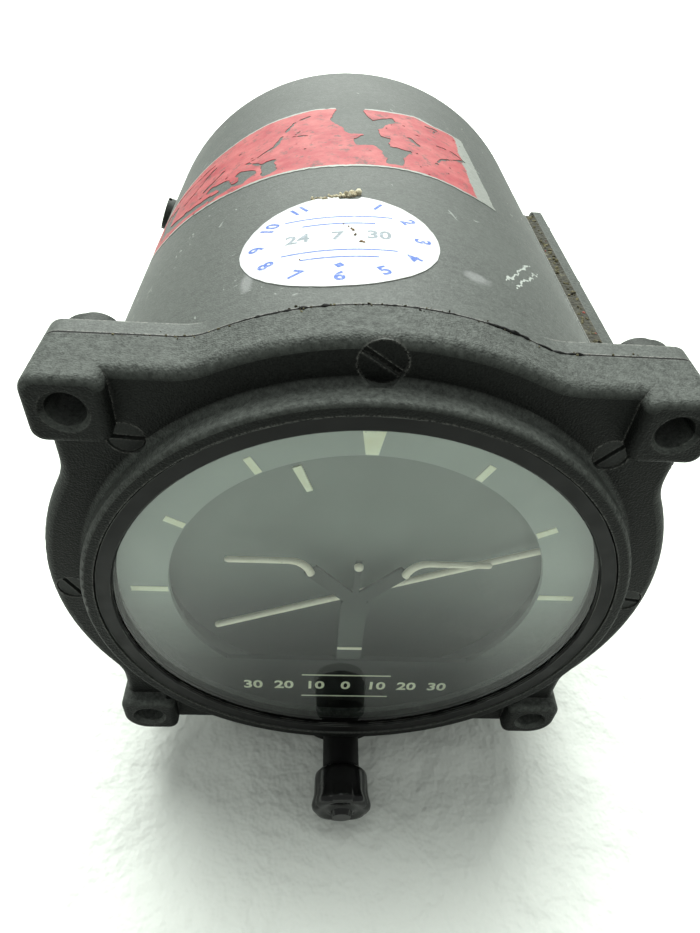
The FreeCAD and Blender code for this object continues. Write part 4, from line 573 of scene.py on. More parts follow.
NODE_FINISH = {
    "casting": ("front_casting", "face_plug"),
    "drum": ("case_shell",),
    "cover_plate": ("side_cover", "rear_plate"),
    "screw": ("face_screws", "left_plug", "side_cover_screws", "rear_plate_screws"),
    "nut": ("lug_nuts",),
    "steel": ("connector_screws", "bulkhead_screws", "housing_screws", "mask_clip"),
    "shaft": ("knob_shaft", "roll_shaft", "spin_shaft", "trunnions", "drive_pin", "horizon_pivot"),
    "bearing": ("roll_bearing_front", "roll_bearing_rear", "pitch_bearings", "spin_bearings"),
    "aluminium": ("connector_shell", "bulkhead", "roll_gimbal_frame", "rotor_housing_lower",
                  "rotor_housing_upper", "horizon_arm"),
    "brass": ("balance_weight", "horizon_counterweight", "gyro_wheel", "slip_rings"),
    "gold": ("connector_pins", "brushes"),
    "rubber": ("flange_gasket", "glass_gasket"),
    "cork": ("side_gasket",),
    "ring": ("glass_retainer",),
    "satin": ("knob_bush", "knob_set_screw"),
    "knob": ("knob",),
    "phenolic": ("connector_insert", "brush_block"),
    "winding": ("roll_pickoff_stator", "roll_pickoff_rotor", "pitch_pickoff_stator", "pitch_pickoff_rotor",
                "motor_stator"),
    "mask": ("dial_mask",),
    "post": ("airplane_post",),
    "sky": ("sky_plate", "sky_plate_screws"),
    "cream": ("bank_marks", "bank_pointer"),
    "ivory": ("airplane_wings", "airplane_dot", "horizon_bar"),
    "glass": ("cover_glass",),
}


def dress(piece, finish_name):
    """Gives a piece of the CAD one finish."""
    piece.data.materials.clear()
    piece.data.materials.append(FINISHES[finish_name].material)


for finish_name, members in NODE_FINISH.items():
    for member in members:
        dress(nodes[member], finish_name)


# Meshes and the places they go to

def mesh_from(shape, name):
    """The mesh of a shape that has been built."""
    mesh = bpy.data.meshes.new(name)
    shape.to_mesh(mesh)
    shape.free()
    return mesh


def held(name, data):
    """A new object in the scene."""
    item = bpy.data.objects.new(name, data)
    bpy.context.scene.collection.objects.link(item)
    return item


def finished_mesh(item):
    """The plain mesh of an object, with its modifiers at work."""
    return bpy.data.meshes.new_from_object(item.evaluated_get(bpy.context.evaluated_depsgraph_get()))


def on_drum(round_mm, along_mm, lift_mm):
    """The place at some millimetres round the drum from its top, along it, and off its skin."""
    angle = round_mm / DRUM_RADIUS
    reach = DRUM_RADIUS + lift_mm
    return Vector((reach * math.sin(angle), along_mm, reach * math.cos(angle))) * MM


def add_piece(name, mesh, finish_name, body="case", smooth_degrees=None):
    """Puts a mesh in the scene as a piece of one body, with its faces turned outwards."""
    turned = bmesh.new()
    turned.from_mesh(mesh)
    bmesh.ops.recalc_face_normals(turned, faces=turned.faces)
    turned.to_mesh(mesh)
    turned.free()
    mesh.materials.clear()
    mesh.materials.append(FINISHES[finish_name].material)
    if smooth_degrees is not None:
        mesh.polygons.foreach_set("use_smooth", [True] * len(mesh.polygons))
        mesh.set_sharp_from_angle(angle=math.radians(smooth_degrees))
    piece = held(name, mesh)
    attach(piece, body)
    return piece


def solid_boxes(node):
    """The box of each separate solid of a CAD node, in millimetres, as pairs of corners."""
    merged = bmesh.new()
    merged.from_mesh(nodes[node].data)
    bmesh.ops.remove_doubles(merged, verts=merged.verts, dist=1e-6)
    seen = set()
    boxes = []
    for first in merged.verts:
        if first.index in seen:
            continue
        seen.add(first.index)
        found = []
        waiting = [first]
        while waiting:
            corner = waiting.pop()
            found.append(corner.co / MM)
            for edge in corner.link_edges:
                other = edge.other_vert(corner)
                if other.index not in seen:
                    seen.add(other.index)
                    waiting.append(other)
        boxes.append(([min(place[axis] for place in found) for axis in range(3)],
                      [max(place[axis] for place in found) for axis in range(3)]))
    merged.free()
    return boxes


# Repeated pieces, made with Geometry Nodes

GEOMETRY = "NodeSocketGeometry"


def new_tree(name, inputs):
    """A geometry tree that takes a mesh, the named inputs and a finish, and gives a mesh."""
    tree = bpy.data.node_groups.new(name, "GeometryNodeTree")
    for label, kind in [("Geometry", GEOMETRY)] + inputs + [("Finish", "NodeSocketMaterial")]:
        tree.interface.new_socket(label, in_out="INPUT", socket_type=kind)
    tree.interface.new_socket("Geometry", in_out="OUTPUT", socket_type=GEOMETRY)
    wires = Wiring(tree)
    return tree, wires, wires.add("NodeGroupInput").outputs


def end_tree(wires, given, made):
    """Ends a tree: one real mesh, in the given finish."""
    real = wires.add("GeometryNodeRealizeInstances", {0: made})
    dressed = wires.add("GeometryNodeSetMaterial", {"Geometry": real.outputs[0], "Material": given["Finish"]})
    wires.feed(wires.add("NodeGroupOutput").inputs[0], dressed.outputs[0])


def repeat_tree():
    """Puts a shape on every point, with the turn and size that the point carries, and makes one real mesh."""
    tree, wires, given = new_tree("repeat_on_points", [("Shape", "NodeSocketObject"), ("Size", FLOAT)])
    shape = wires.add("GeometryNodeObjectInfo", {"Object": given["Shape"]})
    turn = wires.add("GeometryNodeInputNamedAttribute", {"Name": "turn"}, data_type="FLOAT_VECTOR")
    share = wires.add("GeometryNodeInputNamedAttribute", {"Name": "share"}, data_type="FLOAT")
    sized = wires.maths("MULTIPLY", share.outputs["Attribute"], given["Size"])
    placed = wires.add("GeometryNodeInstanceOnPoints",
                       {"Points": given["Geometry"], "Instance": shape.outputs["Geometry"],
                        "Rotation": turn.outputs["Attribute"], "Scale": sized})
    end_tree(wires, given, placed.outputs[0])
    return tree


def bead_tree():
    """A lumpy bead along a path, thicker or thinner as the path's points say."""
    tree, wires, given = new_tree("bead_along_path", [("Thickness", FLOAT), ("Step", FLOAT), ("Lumps", FLOAT)])
    path = wires.add("GeometryNodeMeshToCurve", {0: given["Geometry"]})
    evened = wires.add("GeometryNodeResampleCurve", {"Curve": path.outputs[0], "Length": given["Step"]},
                       mode="LENGTH")
    share = wires.add("GeometryNodeInputNamedAttribute", {"Name": "share"}, data_type="FLOAT")
    profile = wires.add("GeometryNodeCurvePrimitiveCircle", {"Resolution": 8, "Radius": given["Thickness"]})
    sized = wires.add("GeometryNodeSetCurveRadius",
                      {0: evened.outputs[0], "Radius": share.outputs["Attribute"]})
    tube = wires.add("GeometryNodeCurveToMesh", {"Curve": sized.outputs[0], "Profile Curve": profile.outputs[0],
                                                 "Fill Caps": True})
    if "Scale" in tube.inputs:
        wires.feed(tube.inputs["Scale"], share.outputs["Attribute"])
    place = wires.add("GeometryNodeInputPosition")
    lumps = wires.add("ShaderNodeTexNoise", {"Vector": place.outputs[0], "Scale": 900.0, "Detail": 3.0})
    centred = wires.add("ShaderNodeVectorMath", {0: lumps.outputs["Color"], 1: (0.5, 0.5, 0.5)},
                        operation="SUBTRACT")
    pushed = wires.add("ShaderNodeVectorMath", {0: centred.outputs[0], 3: given["Lumps"]}, operation="SCALE")
    moved = wires.add("GeometryNodeSetPosition", {"Geometry": tube.outputs[0], "Offset": pushed.outputs[0]})
    end_tree(wires, given, moved.outputs[0])
    return tree


REPEAT = repeat_tree()
BEAD = bead_tree()


def run_tree(tree, name, base_mesh, **values):
    """Runs a tree on a mesh and gives the result as a plain mesh."""
    holder = held(name + "_base", base_mesh)
    modifier = holder.modifiers.new("tree", "NODES")
    modifier.node_group = tree
    identifiers = {item.name: item.identifier for item in tree.interface.items_tree
                   if item.item_type == "SOCKET" and item.in_out == "INPUT"}
    for key, value in values.items():
        modifier[identifiers[key]] = value
    made = finished_mesh(holder)
    made.name = name
    bpy.data.objects.remove(holder)
    return made


def points_mesh(places, turns, shares):
    """A mesh of loose points that carry a turn and a size."""
    mesh = bpy.data.meshes.new("points")
    mesh.from_pydata([tuple(place) for place in places], [], [])
    mesh.attributes.new("turn", "FLOAT_VECTOR", "POINT")
    mesh.attributes.new("share", "FLOAT", "POINT")
    mesh.attributes["turn"].data.foreach_set("vector", [part for turn in turns for part in turn])
    mesh.attributes["share"].data.foreach_set("value", shares)
    return mesh


def repeated(name, shape, places, turns, shares, finish_name, size=1.0):
    """A piece made of one shape at many places."""
    made = run_tree(REPEAT, name, points_mesh(places, turns, shares), Shape=shape, Size=size,
                    Finish=FINISHES[finish_name].material)
    return add_piece(name, made, finish_name, smooth_degrees=35.0)


def turned_shape(profile, steps=28):
    """A closed shape turned about Z from radii and heights in millimetres. It starts and ends on the axis."""
    turned = bmesh.new()
    rings = []
    for radius, height in profile:
        if radius == 0.0:
            rings.append([turned.verts.new((0.0, 0.0, height * MM))])
        else:
            rings.append([turned.verts.new((radius * MM * math.cos(2.0 * math.pi * step / steps),
                                            radius * MM * math.sin(2.0 * math.pi * step / steps), height * MM))
                          for step in range(steps)])
    for low, high in zip(rings, rings[1:]):
        for step in range(steps):
            after = (step + 1) % steps
            corners = []
            for corner in (low[step % len(low)], low[after % len(low)], high[after % len(high)],
                           high[step % len(high)]):
                if corner not in corners:
                    corners.append(corner)
            turned.faces.new(corners)
    bmesh.ops.recalc_face_normals(turned, faces=turned.faces)
    return mesh_from(turned, "turned")


def slotted_screw(name, head_radius, head_height, shank_radius, shank_length, slot_width, slot_depth):
    """A cheese head screw along Z: head up with a driver slot, and the head's underside at zero."""
    low = -shank_length
    mesh = turned_shape([(0.0, low), (shank_radius, low), (shank_radius, 0.0), (head_radius, 0.0),
                         (head_radius, head_height * 0.72), (head_radius * 0.93, head_height * 0.92),
                         (head_radius * 0.80, head_height), (0.0, head_height)])
    screw = held(name, mesh)
    cutter_shape = bmesh.new()
    bmesh.ops.create_cube(cutter_shape, size=1.0)
    for corner in cutter_shape.verts:
        corner.co = Vector((corner.co.x * 3.0 * head_radius, corner.co.y * slot_width,
                            (corner.co.z + 0.5) * 2.0 * slot_depth + head_height - slot_depth)) * MM
    cutter = held(name + "_slot", mesh_from(cutter_shape, name + "_slot"))
    modifier = screw.modifiers.new("slot", "BOOLEAN")
    modifier.operation = "DIFFERENCE"
    modifier.object = cutter
    cut = finished_mesh(screw)
    screw.modifiers.clear()
    screw.data = cut
    bpy.data.objects.remove(cutter)
    return screw


def crumb_shape(name, seed):
    """A small irregular lump about one millimetre across."""
    lump = bmesh.new()
    bmesh.ops.create_icosphere(lump, subdivisions=2, radius=0.5 * MM)
    for corner in lump.verts:
        push = noise.noise(corner.co * 1400.0 + Vector((seed * 7.3, 0.0, 0.0)))
        corner.co *= 1.0 + 0.85 * push
        corner.co.z *= 0.7
    return held(name, mesh_from(lump, name))


def any_turn(draws):
    """A random turn about all three axes."""
    return (draws.uniform(0.0, 6.28), draws.uniform(0.0, 6.28), draws.uniform(0.0, 6.28))


def make_screws():
    """Slotted screws in place of the plain ones of the side cover, the rear plate and the connector."""
    draws = random.Random(11)
    side = slotted_screw("side_screw_shape", 1.9, 1.1, 1.1, 5.9, 0.55, 0.55)
    rear = slotted_screw("rear_screw_shape", 1.8, 1.0, 1.0, 3.4, 0.5, 0.5)
    small = slotted_screw("connector_screw_shape", 1.7, 1.0, 1.0, 3.4, 0.5, 0.5)
    along_x = Matrix.Rotation(math.radians(90.0), 3, "Y")
    along_y = Matrix.Rotation(math.radians(-90.0), 3, "X")
    for name, node, shape, axis, head, facing in (
            ("side_cover_slotted_screws", "side_cover_screws", side, 0, 1.1, along_x),
            ("rear_plate_slotted_screws", "rear_plate_screws", rear, 1, 1.0, along_y),
            ("connector_slotted_screws", "connector_screws", small, 1, 1.0, along_y)):
        places = []
        turns = []
        for low, high in solid_boxes(node):
            middle = [(low[index] + high[index]) / 2.0 for index in range(3)]
            middle[axis] = high[axis] - head
            places.append(Vector(middle) * MM)
            turns.append(tuple((facing @ Matrix.Rotation(draws.uniform(0.0, math.pi), 3, "Z")).to_euler()))
        finish_name = "steel" if node == "connector_screws" else "screw"
        piece = repeated(name, shape, places, turns, [1.0] * len(places), finish_name)
        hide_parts(node)
    for shape in (side, rear, small):
        bpy.data.objects.remove(shape)


def join_rings(shape, near, far):
    """Faces between two rings of corners, or between a ring and one end corner."""
    for step in range(len(near)):
        after = (step + 1) % len(near)
        if len(far) == 1:
            shape.faces.new((near[step], near[after], far[0]))
        else:
            shape.faces.new((near[step], near[after], far[after], far[step]))


def make_thread():
    """The coupling thread on the connector's barrel, as ridges one after another."""
    barrel_radius = 9.6
    root = barrel_radius - 0.05
    crest = barrel_radius + 0.26
    ridge_count = 6
    ridge_pitch = 0.95
    steps = 72
    ridge = bmesh.new()
    rings = []
    for reach, along in ((root, -0.42), (crest, -0.08), (crest, 0.08), (root, 0.42)):
        ring = []
        for step in range(steps):
            angle = 2.0 * math.pi * step / steps
            ring.append(ridge.verts.new((reach * math.cos(angle) * MM, along * MM,
                                         reach * math.sin(angle) * MM)))
        rings.append(ring)
    for index in range(len(rings)):
        join_rings(ridge, rings[index], rings[(index + 1) % len(rings)])
    shape = held("thread_ridge", mesh_from(ridge, "thread_ridge"))
    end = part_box("connector_shell")[1].y / MM - 1.0
    places = [Vector((0.0, end - ridge_pitch * index, 0.0)) * MM for index in range(ridge_count)]
    repeated("connector_thread", shape, places, [(0.0, 0.0, 0.0)] * ridge_count, [1.0] * ridge_count,
             "aluminium")
    bpy.data.objects.remove(shape)


# Label and sticker

def line_distance(across, along, points):
    """How far each place is from a line through points."""
    nearest = np.full(across.shape, 1e9)
    for (a0, b0), (a1, b1) in zip(points, points[1:]):
        run_a, run_b = a1 - a0, b1 - b0
        share = np.clip(((across - a0) * run_a + (along - b0) * run_b) / (run_a * run_a + run_b * run_b),
                        0.0, 1.0)
        nearest = np.minimum(nearest, np.hypot(across - a0 - share * run_a, along - b0 - share * run_b))
    return nearest


def depth_inside(across, along, points):
    """How deep each place lies in a closed outline, and below zero outside it."""
    closed = points + points[:1]
    inside = np.zeros(across.shape, bool)
    for (a0, b0), (a1, b1) in zip(closed, closed[1:]):
        if b0 == b1:
            continue
        crosses = (b0 > along) != (b1 > along)
        inside ^= crosses & (across < (a1 - a0) * (along - b0) / (b1 - b0) + a0)
    return np.where(inside, 1.0, -1.0) * line_distance(across, along, closed)


def noise_grid(across, along, size, offset):
    """Soft noise from about -1 to 1 at every place of a grid."""
    flat = [noise.noise((a / size, b / size, offset)) for a, b in zip(across.ravel(), along.ravel())]
    return np.array(flat).reshape(across.shape)


def sheet_from_field(name, across, along, field, thickness, place, extra=None):
    """A thin closed sheet that covers where the field is above zero, cut between the grid's points."""
    corners = {}
    places = []
    carried = []

    def corner_at(key, a, b, value):
        if key not in corners:
            corners[key] = len(places)
            places.append((a, b))
            carried.append(value)
        return corners[key]

    def grid_corner(row, column):
        value = extra[row, column] if extra is not None else 0.0
        return corner_at((row, column), across[row, column], along[row, column], value)

    def crossing(first, second):
        first, second = sorted((first, second))
        share = field[first] / (field[first] - field[second])
        share = min(0.97, max(0.03, share))
        a = across[first] + share * (across[second] - across[first])
        b = along[first] + share * (along[second] - along[first])
        value = extra[first] + share * (extra[second] - extra[first]) if extra is not None else 0.0
        return corner_at((first, second), a, b, value)

    polygons = []
    rows, columns = field.shape
    for row in range(rows - 1):
        for column in range(columns - 1):
            cell = [(row, column), (row, column + 1), (row + 1, column + 1), (row + 1, column)]
            if not any(field[point] > 0.0 for point in cell):
                continue
            found = []
            for point, after in zip(cell, cell[1:] + cell[:1]):
                if field[point] > 0.0:
                    found.append(grid_corner(*point))
                if (field[point] > 0.0) != (field[after] > 0.0):
                    found.append(crossing(point, after))
            if len(found) > 2:
                polygons.append(found)
    count = len(places)
    lifts = (thickness, 0.0)
    vertices = [tuple(place(a, b, lift)) for lift in lifts for a, b in places]
    faces = [tuple(found) for found in polygons]
    faces += [tuple(index + count for index in reversed(found)) for found in polygons]
    sides = {}
    for found in polygons:
        for first, second in zip(found, found[1:] + found[:1]):
            sides[first, second] = True
    for first, second in sides:
        if (second, first) not in sides:
            faces.append((second, first, first + count, second + count))
    mesh = bpy.data.meshes.new(name)
    mesh.from_pydata(vertices, [], faces)
    if extra is not None:
        ink = mesh.attributes.new("ink", "FLOAT", "POINT")
        ink.data.foreach_set("value", carried + carried)
    return mesh


LABEL_OUTLINE = [(19.2, 76.5), (13.4, 76.0), (9.7, 77.6), (5.6, 76.4), (0.9, 76.0), (-4.5, 76.4), (-8.7, 76.7),
                 (-16.9, 75.8), (-24.7, 73.6), (-32.5, 72.2), (-38.5, 70.6), (-42.3, 68.0), (-43.0, 60.0),
                 (-41.5, 54.0), (-36.0, 51.2), (-31.1, 50.1), (-26.4, 49.0), (-19.9, 48.0), (-15.7, 48.0),
                 (-8.8, 47.7), (-3.1, 47.5), (2.8, 47.9), (5.7, 48.0), (10.6, 47.8), (14.7, 46.9), (20.5, 46.8),
                 (19.8, 64.0)]
LABEL_GAP = [(-4.3, 79.0), (-4.3, 75.9), (-5.4, 70.1), (-3.5, 64.8), (-2.6, 62.2), (-0.2, 62.0), (-1.6, 59.5),
             (-1.4, 56.5), (1.1, 57.0), (2.4, 54.5), (3.0, 51.8), (2.8, 49.4), (5.6, 49.4), (5.9, 53.2),
             (7.3, 57.1), (3.7, 57.4), (4.2, 61.3), (2.5, 61.9), (2.3, 65.1), (5.9, 71.0), (5.2, 72.7),
             (1.6, 70.0), (0.4, 73.9), (0.9, 79.0)]
LABEL_TORN = [[(-39.5, 66.0), (-38.6, 57.5), (-34.0, 54.8), (-30.0, 53.0), (-26.4, 52.0)],
              [(-36.5, 63.5), (-37.6, 58.5)],
              [(-25.6, 55.6), (-23.2, 54.6), (-22.4, 51.8), (-24.6, 51.4)],
              [(-20.1, 54.9), (-18.0, 52.2), (-19.4, 51.4)],
              [(-15.2, 54.4), (-14.9, 50.6)]]
LABEL_CRACKS = [[(-9.0, 73.0), (-11.6, 71.2), (-13.4, 65.7), (-14.5, 61.5), (-17.9, 58.9), (-19.3, 58.7),
                 (-16.2, 54.8)],
                [(-10.5, 66.0), (-11.6, 63.8), (-9.4, 63.0)],
                [(-26.5, 66.5), (-30.5, 62.0), (-33.0, 60.5)],
                [(-24.0, 61.0), (-27.5, 57.5)],
                [(12.6, 64.6), (15.2, 65.1), (17.6, 63.4), (12.3, 57.9), (10.9, 54.3), (13.3, 52.2)],
                [(11.6, 73.4), (13.6, 73.9), (12.6, 71.6)],
                [(7.6, 63.6), (8.8, 61.0)],
                [(-38.0, 69.5), (-32.0, 68.0), (-27.0, 68.6)]]


def make_label():
    """A faded red foil label across the drum, torn and scraped, with bare foil showing at its borders."""
    step = 0.34
    across, along = np.meshgrid(np.arange(-44.5, 22.5, step), np.arange(45.0, 79.0, step))
    fine = noise_grid(across, along, 0.9, 3.0)
    soft = noise_grid(across, along, 3.2, 8.0)
    ragged = 0.30 * fine + 0.35 * soft
    depth = depth_inside(across, along, LABEL_OUTLINE)
    field = depth + 0.25 * fine
    field = np.minimum(field, -depth_inside(across, along, LABEL_GAP) + ragged)
    for torn in LABEL_TORN:
        field = np.minimum(field, line_distance(across, along, torn) - 1.15 + 1.6 * ragged)
    for crack in LABEL_CRACKS:
        field = np.minimum(field, line_distance(across, along, crack) - 0.28 + 1.1 * ragged)
    field = np.minimum(field, 0.60 - noise_grid(across, along, 1.1, 21.0))
    border = np.clip(depth + 0.25 * soft, 0.0, 0.9) / 0.9
    foil_end = np.clip((17.6 - across) / 1.0 + 0.6 * soft, 0.0, 1.0)
    ink = np.minimum(border ** 2, foil_end)
    mesh = sheet_from_field("torn_label", across, along, field, 0.07, on_drum, ink)
    add_piece("torn_label", mesh, "foil")


STICKER_ROUND = -4.35
STICKER_ALONG = 24.1
STICKER_RADIUS = 12.15
STICKER_LIFT = 0.11


def on_sticker(across, along, lift):
    """The place on the sticker at some millimetres from its middle."""
    return on_drum(STICKER_ROUND + across, STICKER_ALONG + along, lift)


def drawn_number(text, height):
    """A plain number as a thin closed mesh, centred, in millimetres."""
    curve = bpy.data.curves.new("number", "FONT")
    curve.body = text
    curve.size = height
    curve.extrude = 0.5
    curve.offset = 0.075
    curve.resolution_u = 3
    curve.align_x = "CENTER"
    curve.align_y = "CENTER"
    holder = held("number", curve)
    mesh = finished_mesh(holder)
    bpy.data.objects.remove(holder)
    merged = bmesh.new()
    merged.from_mesh(mesh)
    bmesh.ops.remove_doubles(merged, verts=merged.verts, dist=1e-5)
    corners = [tuple(corner.co) for corner in merged.verts]
    for index, corner in enumerate(merged.verts):
        corner.index = index
    faces = [[corner.index for corner in face.verts] for face in merged.faces]
    merged.free()
    return corners, faces


def printed_marks(name, marks, place, finish_name, low, high):
    """Numbers and bars laid on a surface. A mark is its corners and faces, its place and its turn."""
    vertices = []
    faces = []
    for (corners, found), (across, along), turn in marks:
        first = len(vertices)
        for x, y, z in corners:
            a = across + x * math.cos(turn) - y * math.sin(turn)
            b = along + x * math.sin(turn) + y * math.cos(turn)
            vertices.append(tuple(place(a, b, high if z > 0.0 else low)))
        faces += [tuple(first + index for index in face) for face in found]
    mesh = bpy.data.meshes.new(name)
    mesh.from_pydata(vertices, [], faces)
    return add_piece(name, mesh, finish_name)


def bar_mark(length, width, parts=12):
    """A printed rule as a thin closed bar, cut across so that it can follow a curve."""
    corners = []
    faces = []
    for index in range(parts + 1):
        x = (index / parts - 0.5) * length
        corners += [(x, -width / 2.0, 0.5), (x, width / 2.0, 0.5), (x, width / 2.0, -0.5),
                    (x, -width / 2.0, -0.5)]
    for index in range(parts):
        first = 4 * index
        for side in range(4):
            after = (side + 1) % 4
            faces.append((first + side, first + after, first + 4 + after, first + 4 + side))
    faces.append((0, 1, 2, 3))
    faces.append(tuple(4 * parts + side for side in (3, 2, 1, 0)))
    return corners, faces


def make_sticker():
    """A round paper sticker with plain numbers, a few rules and a bite torn out of its rear edge."""
    step = 0.30
    reach = STICKER_RADIUS + 1.0
    across, along = np.meshgrid(np.arange(-reach, reach, step), np.arange(-reach, reach, step))
    edge = STICKER_RADIUS - np.hypot(across, along) + 0.10 * noise_grid(across, along, 1.6, 5.0)
    bite = np.hypot(across - 1.6, along - 12.9) - 1.9 + 0.5 * noise_grid(across, along, 0.9, 2.0)
    field = np.minimum(edge, bite)
    mesh = sheet_from_field("round_sticker", across, along, field, STICKER_LIFT, on_sticker)
    add_piece("round_sticker", mesh, "paper")
    low, high = STICKER_LIFT - 0.02, STICKER_LIFT + 0.015
    blue = []
    ring = 10.0
    for number in range(1, 12):
        angle = math.radians(30.0 * number)
        turn = -angle if abs(number - 6) > 2 else math.pi - angle
        blue.append((drawn_number(str(number), 2.7), (ring * math.sin(angle), ring * math.cos(angle)), turn))
    for length, row in ((13.5, 5.6), (9.0, 3.6), (13.5, -3.6), (9.0, -5.4)):
        blue.append((bar_mark(length, 0.30), (0.0, row), 0.0))
    blue.append((bar_mark(0.9, 0.9, 2), (0.0, -7.4), 0.6))
    printed_marks("sticker_numbers", blue, on_sticker, "blue_ink", low, high)
    grey_marks = [(drawn_number(number, 3.0), place, turn) for number, place, turn in
                  (("24", (-5.0, 0.2), 0.03), ("7", (-0.2, 0.1), 0.0), ("30", (4.8, 0.3), -0.02))]
    printed_marks("sticker_stamp", grey_marks, on_sticker, "grey_ink", low, high)


def make_glue():
    """The lump of old glue and torn paper at the sticker's rear edge, and rust spots on the paper."""
    draws = random.Random(4)
    shape = crumb_shape("glue_shape", 2.0)
    places = []
    shares = []
    for _ in range(46):
        along_row = draws.random()
        across = -3.4 + 5.6 * along_row + draws.gauss(0.0, 0.25)
        along = 11.9 + 0.9 * along_row ** 2 + draws.gauss(0.0, 0.28)
        thick = 0.35 + 0.75 * along_row ** 3
        places.append(on_sticker(across, along, 0.05 + 0.12 * thick))
        shares.append(thick * draws.uniform(0.6, 1.2))
    repeated("torn_glue", shape, places, [any_turn(draws) for _ in places], shares, "glue",
             size=0.85)
    spots = [(0.6, 3.4), (1.5, 2.0), (1.7, 1.5), (2.0, 0.4), (1.9, 0.1), (2.6, -1.6), (2.9, -1.7),
             (1.2, 2.6), (-4.5, -5.2)]
    places = [on_sticker(across, along, STICKER_LIFT) for across, along in spots]
    shares = [draws.uniform(0.5, 1.0) for _ in places]
    repeated("rust_spots", shape, places, [any_turn(draws) for _ in places], shares, "rust",
             size=0.42)
    bpy.data.objects.remove(shape)


# Seam, gasket and other crumbs

def outline_above():
    """Finds the height of the flange's outline at the seam, seen from above."""
    gasket = nodes["flange_gasket"].data
    tree = BVHTree.FromPolygons([corner.co for corner in gasket.vertices],
                                [tuple(face.vertices) for face in gasket.polygons])
    middle = (SEAM_FRONT + SEAM_BACK) / 2.0

    def height(x_mm):
        hit = tree.ray_cast(Vector((x_mm, middle, 90.0)) * MM, Vector((0.0, 0.0, -1.0)))[0]
        return hit.z / MM

    return height, middle


def make_seam():
    """Sealant squeezed out of the front seam: a ragged bead, thick where it has lifted, gone in places."""
    height, middle = outline_above()
    draws = random.Random(7)
    runs = [(-30.5, -17.0, 0.45), (-16.0, -3.0, 0.95), (-2.0, 9.5, 0.75), (10.5, 16.5, 1.5), (16.0, 23.5, 1.15),
            (24.5, 31.0, 0.5)]
    for index, (start, end, thick) in enumerate(runs):
        count = int((end - start) / 0.4)
        places = []
        shares = []
        for point in range(count + 1):
            x = start + (end - start) * point / count
            fade = min(1.0, 4.0 * min(point, count - point) / count + 0.25)
            drift = noise.noise((x * 0.7, 3.0 * index, 0.0))
            places.append((x * MM, (middle + 0.12 * drift) * MM, (height(x) - 0.10) * MM))
            shares.append(max(0.2, thick * fade * (0.8 + 0.9 * noise.noise((x * 1.3, 0.0, 5.0)))))
        mesh = bpy.data.meshes.new("seam_path")
        mesh.from_pydata(places, [(point, point + 1) for point in range(count)], [])
        share = mesh.attributes.new("share", "FLOAT", "POINT")
        share.data.foreach_set("value", shares)
        made = run_tree(BEAD, "seam_sealant_%d" % (index + 1), mesh, Thickness=0.26 * MM, Step=0.16 * MM,
                        Lumps=0.26 * MM, Finish=FINISHES["rubber"].material)
        add_piece("seam_sealant_%d" % (index + 1), made, "rubber", smooth_degrees=50.0)
    shape = crumb_shape("seam_crumb_shape", 5.0)
    places = []
    for _ in range(90):
        x = draws.uniform(-30.0, 29.0)
        y = middle + draws.gauss(0.0, 0.28)
        places.append(Vector((x, y, height(x) + 0.02)) * MM)
    shares = [draws.uniform(0.25, 1.0) ** 1.6 for _ in places]
    repeated("seam_crumbs", shape, places, [any_turn(draws) for _ in places], shares, "seam_crumbs",
             size=0.36)
    bpy.data.objects.remove(shape)


def make_side_crumbs():
    """Crumbs of the side gasket that stick out under the cover's upper edge, some of them red."""
    low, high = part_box("side_gasket")
    draws = random.Random(23)
    shape = crumb_shape("side_crumb_shape", 9.0)
    for name, count, finish_name, size in (("side_gasket_crumbs", 120, "seam_crumbs", 0.95),
                                           ("side_gasket_red_crumbs", 22, "red_crumbs", 0.6)):
        places = []
        for _ in range(count):
            along = draws.uniform(low.y + 3.0 * MM, high.y - 2.0 * MM)
            across = draws.uniform(low.x + 0.3 * MM, high.x - 0.3 * MM)
            places.append(Vector((across, along, high.z - draws.uniform(0.0, 0.25) * MM)))
        shares = [draws.uniform(0.3, 1.0) for _ in places]
        repeated(name, shape, places, [any_turn(draws) for _ in places], shares, finish_name,
                 size=size)
    bpy.data.objects.remove(shape)


def make_glass_specks():
    """White specks that have gathered behind the glass, at the bottom of the window."""
    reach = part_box("glass_gasket")[1].x / MM - 0.55
    draws = random.Random(31)
    shape = crumb_shape("speck_shape", 12.0)
    places = []
    for _ in range(26):
        angle = math.radians(180.0 + draws.gauss(8.0, 26.0))
        places.append(Vector((reach * math.sin(angle), GLASS_BACK + draws.uniform(0.5, 1.6),
                              reach * math.cos(angle))) * MM)
    shares = [draws.uniform(0.3, 1.0) for _ in places]
    repeated("glass_specks", shape, places, [any_turn(draws) for _ in places], shares, "white_crumbs",
             size=0.34)
    bpy.data.objects.remove(shape)


# Dial numbers, airplane and knob

def make_dial_numbers():
    """Plain numbers in cream at the foot of the dial mask, with a fine rule above and below them."""
    def on_mask(across, along, lift):
        return Vector((across, MASK_FRONT - lift, along)) * MM

    number_height = 3.1
    number_pitch = 4.9
    number_row = -24.4
    sunk, proud = -0.01, 0.04
    marks = []
    for index, number in enumerate((30, 20, 10, 0, 10, 20, 30)):
        marks.append((drawn_number(str(number), number_height), ((index - 3) * number_pitch, number_row), 0.0))
    printed_marks("dial_numbers", marks, on_mask, "cream", sunk, proud)
    rules = [(bar_mark(14.0, 0.26), (0.0, row), 0.0) for row in (-21.3, -27.6)]
    printed_marks("dial_rules", rules, on_mask, "cream", sunk, proud)


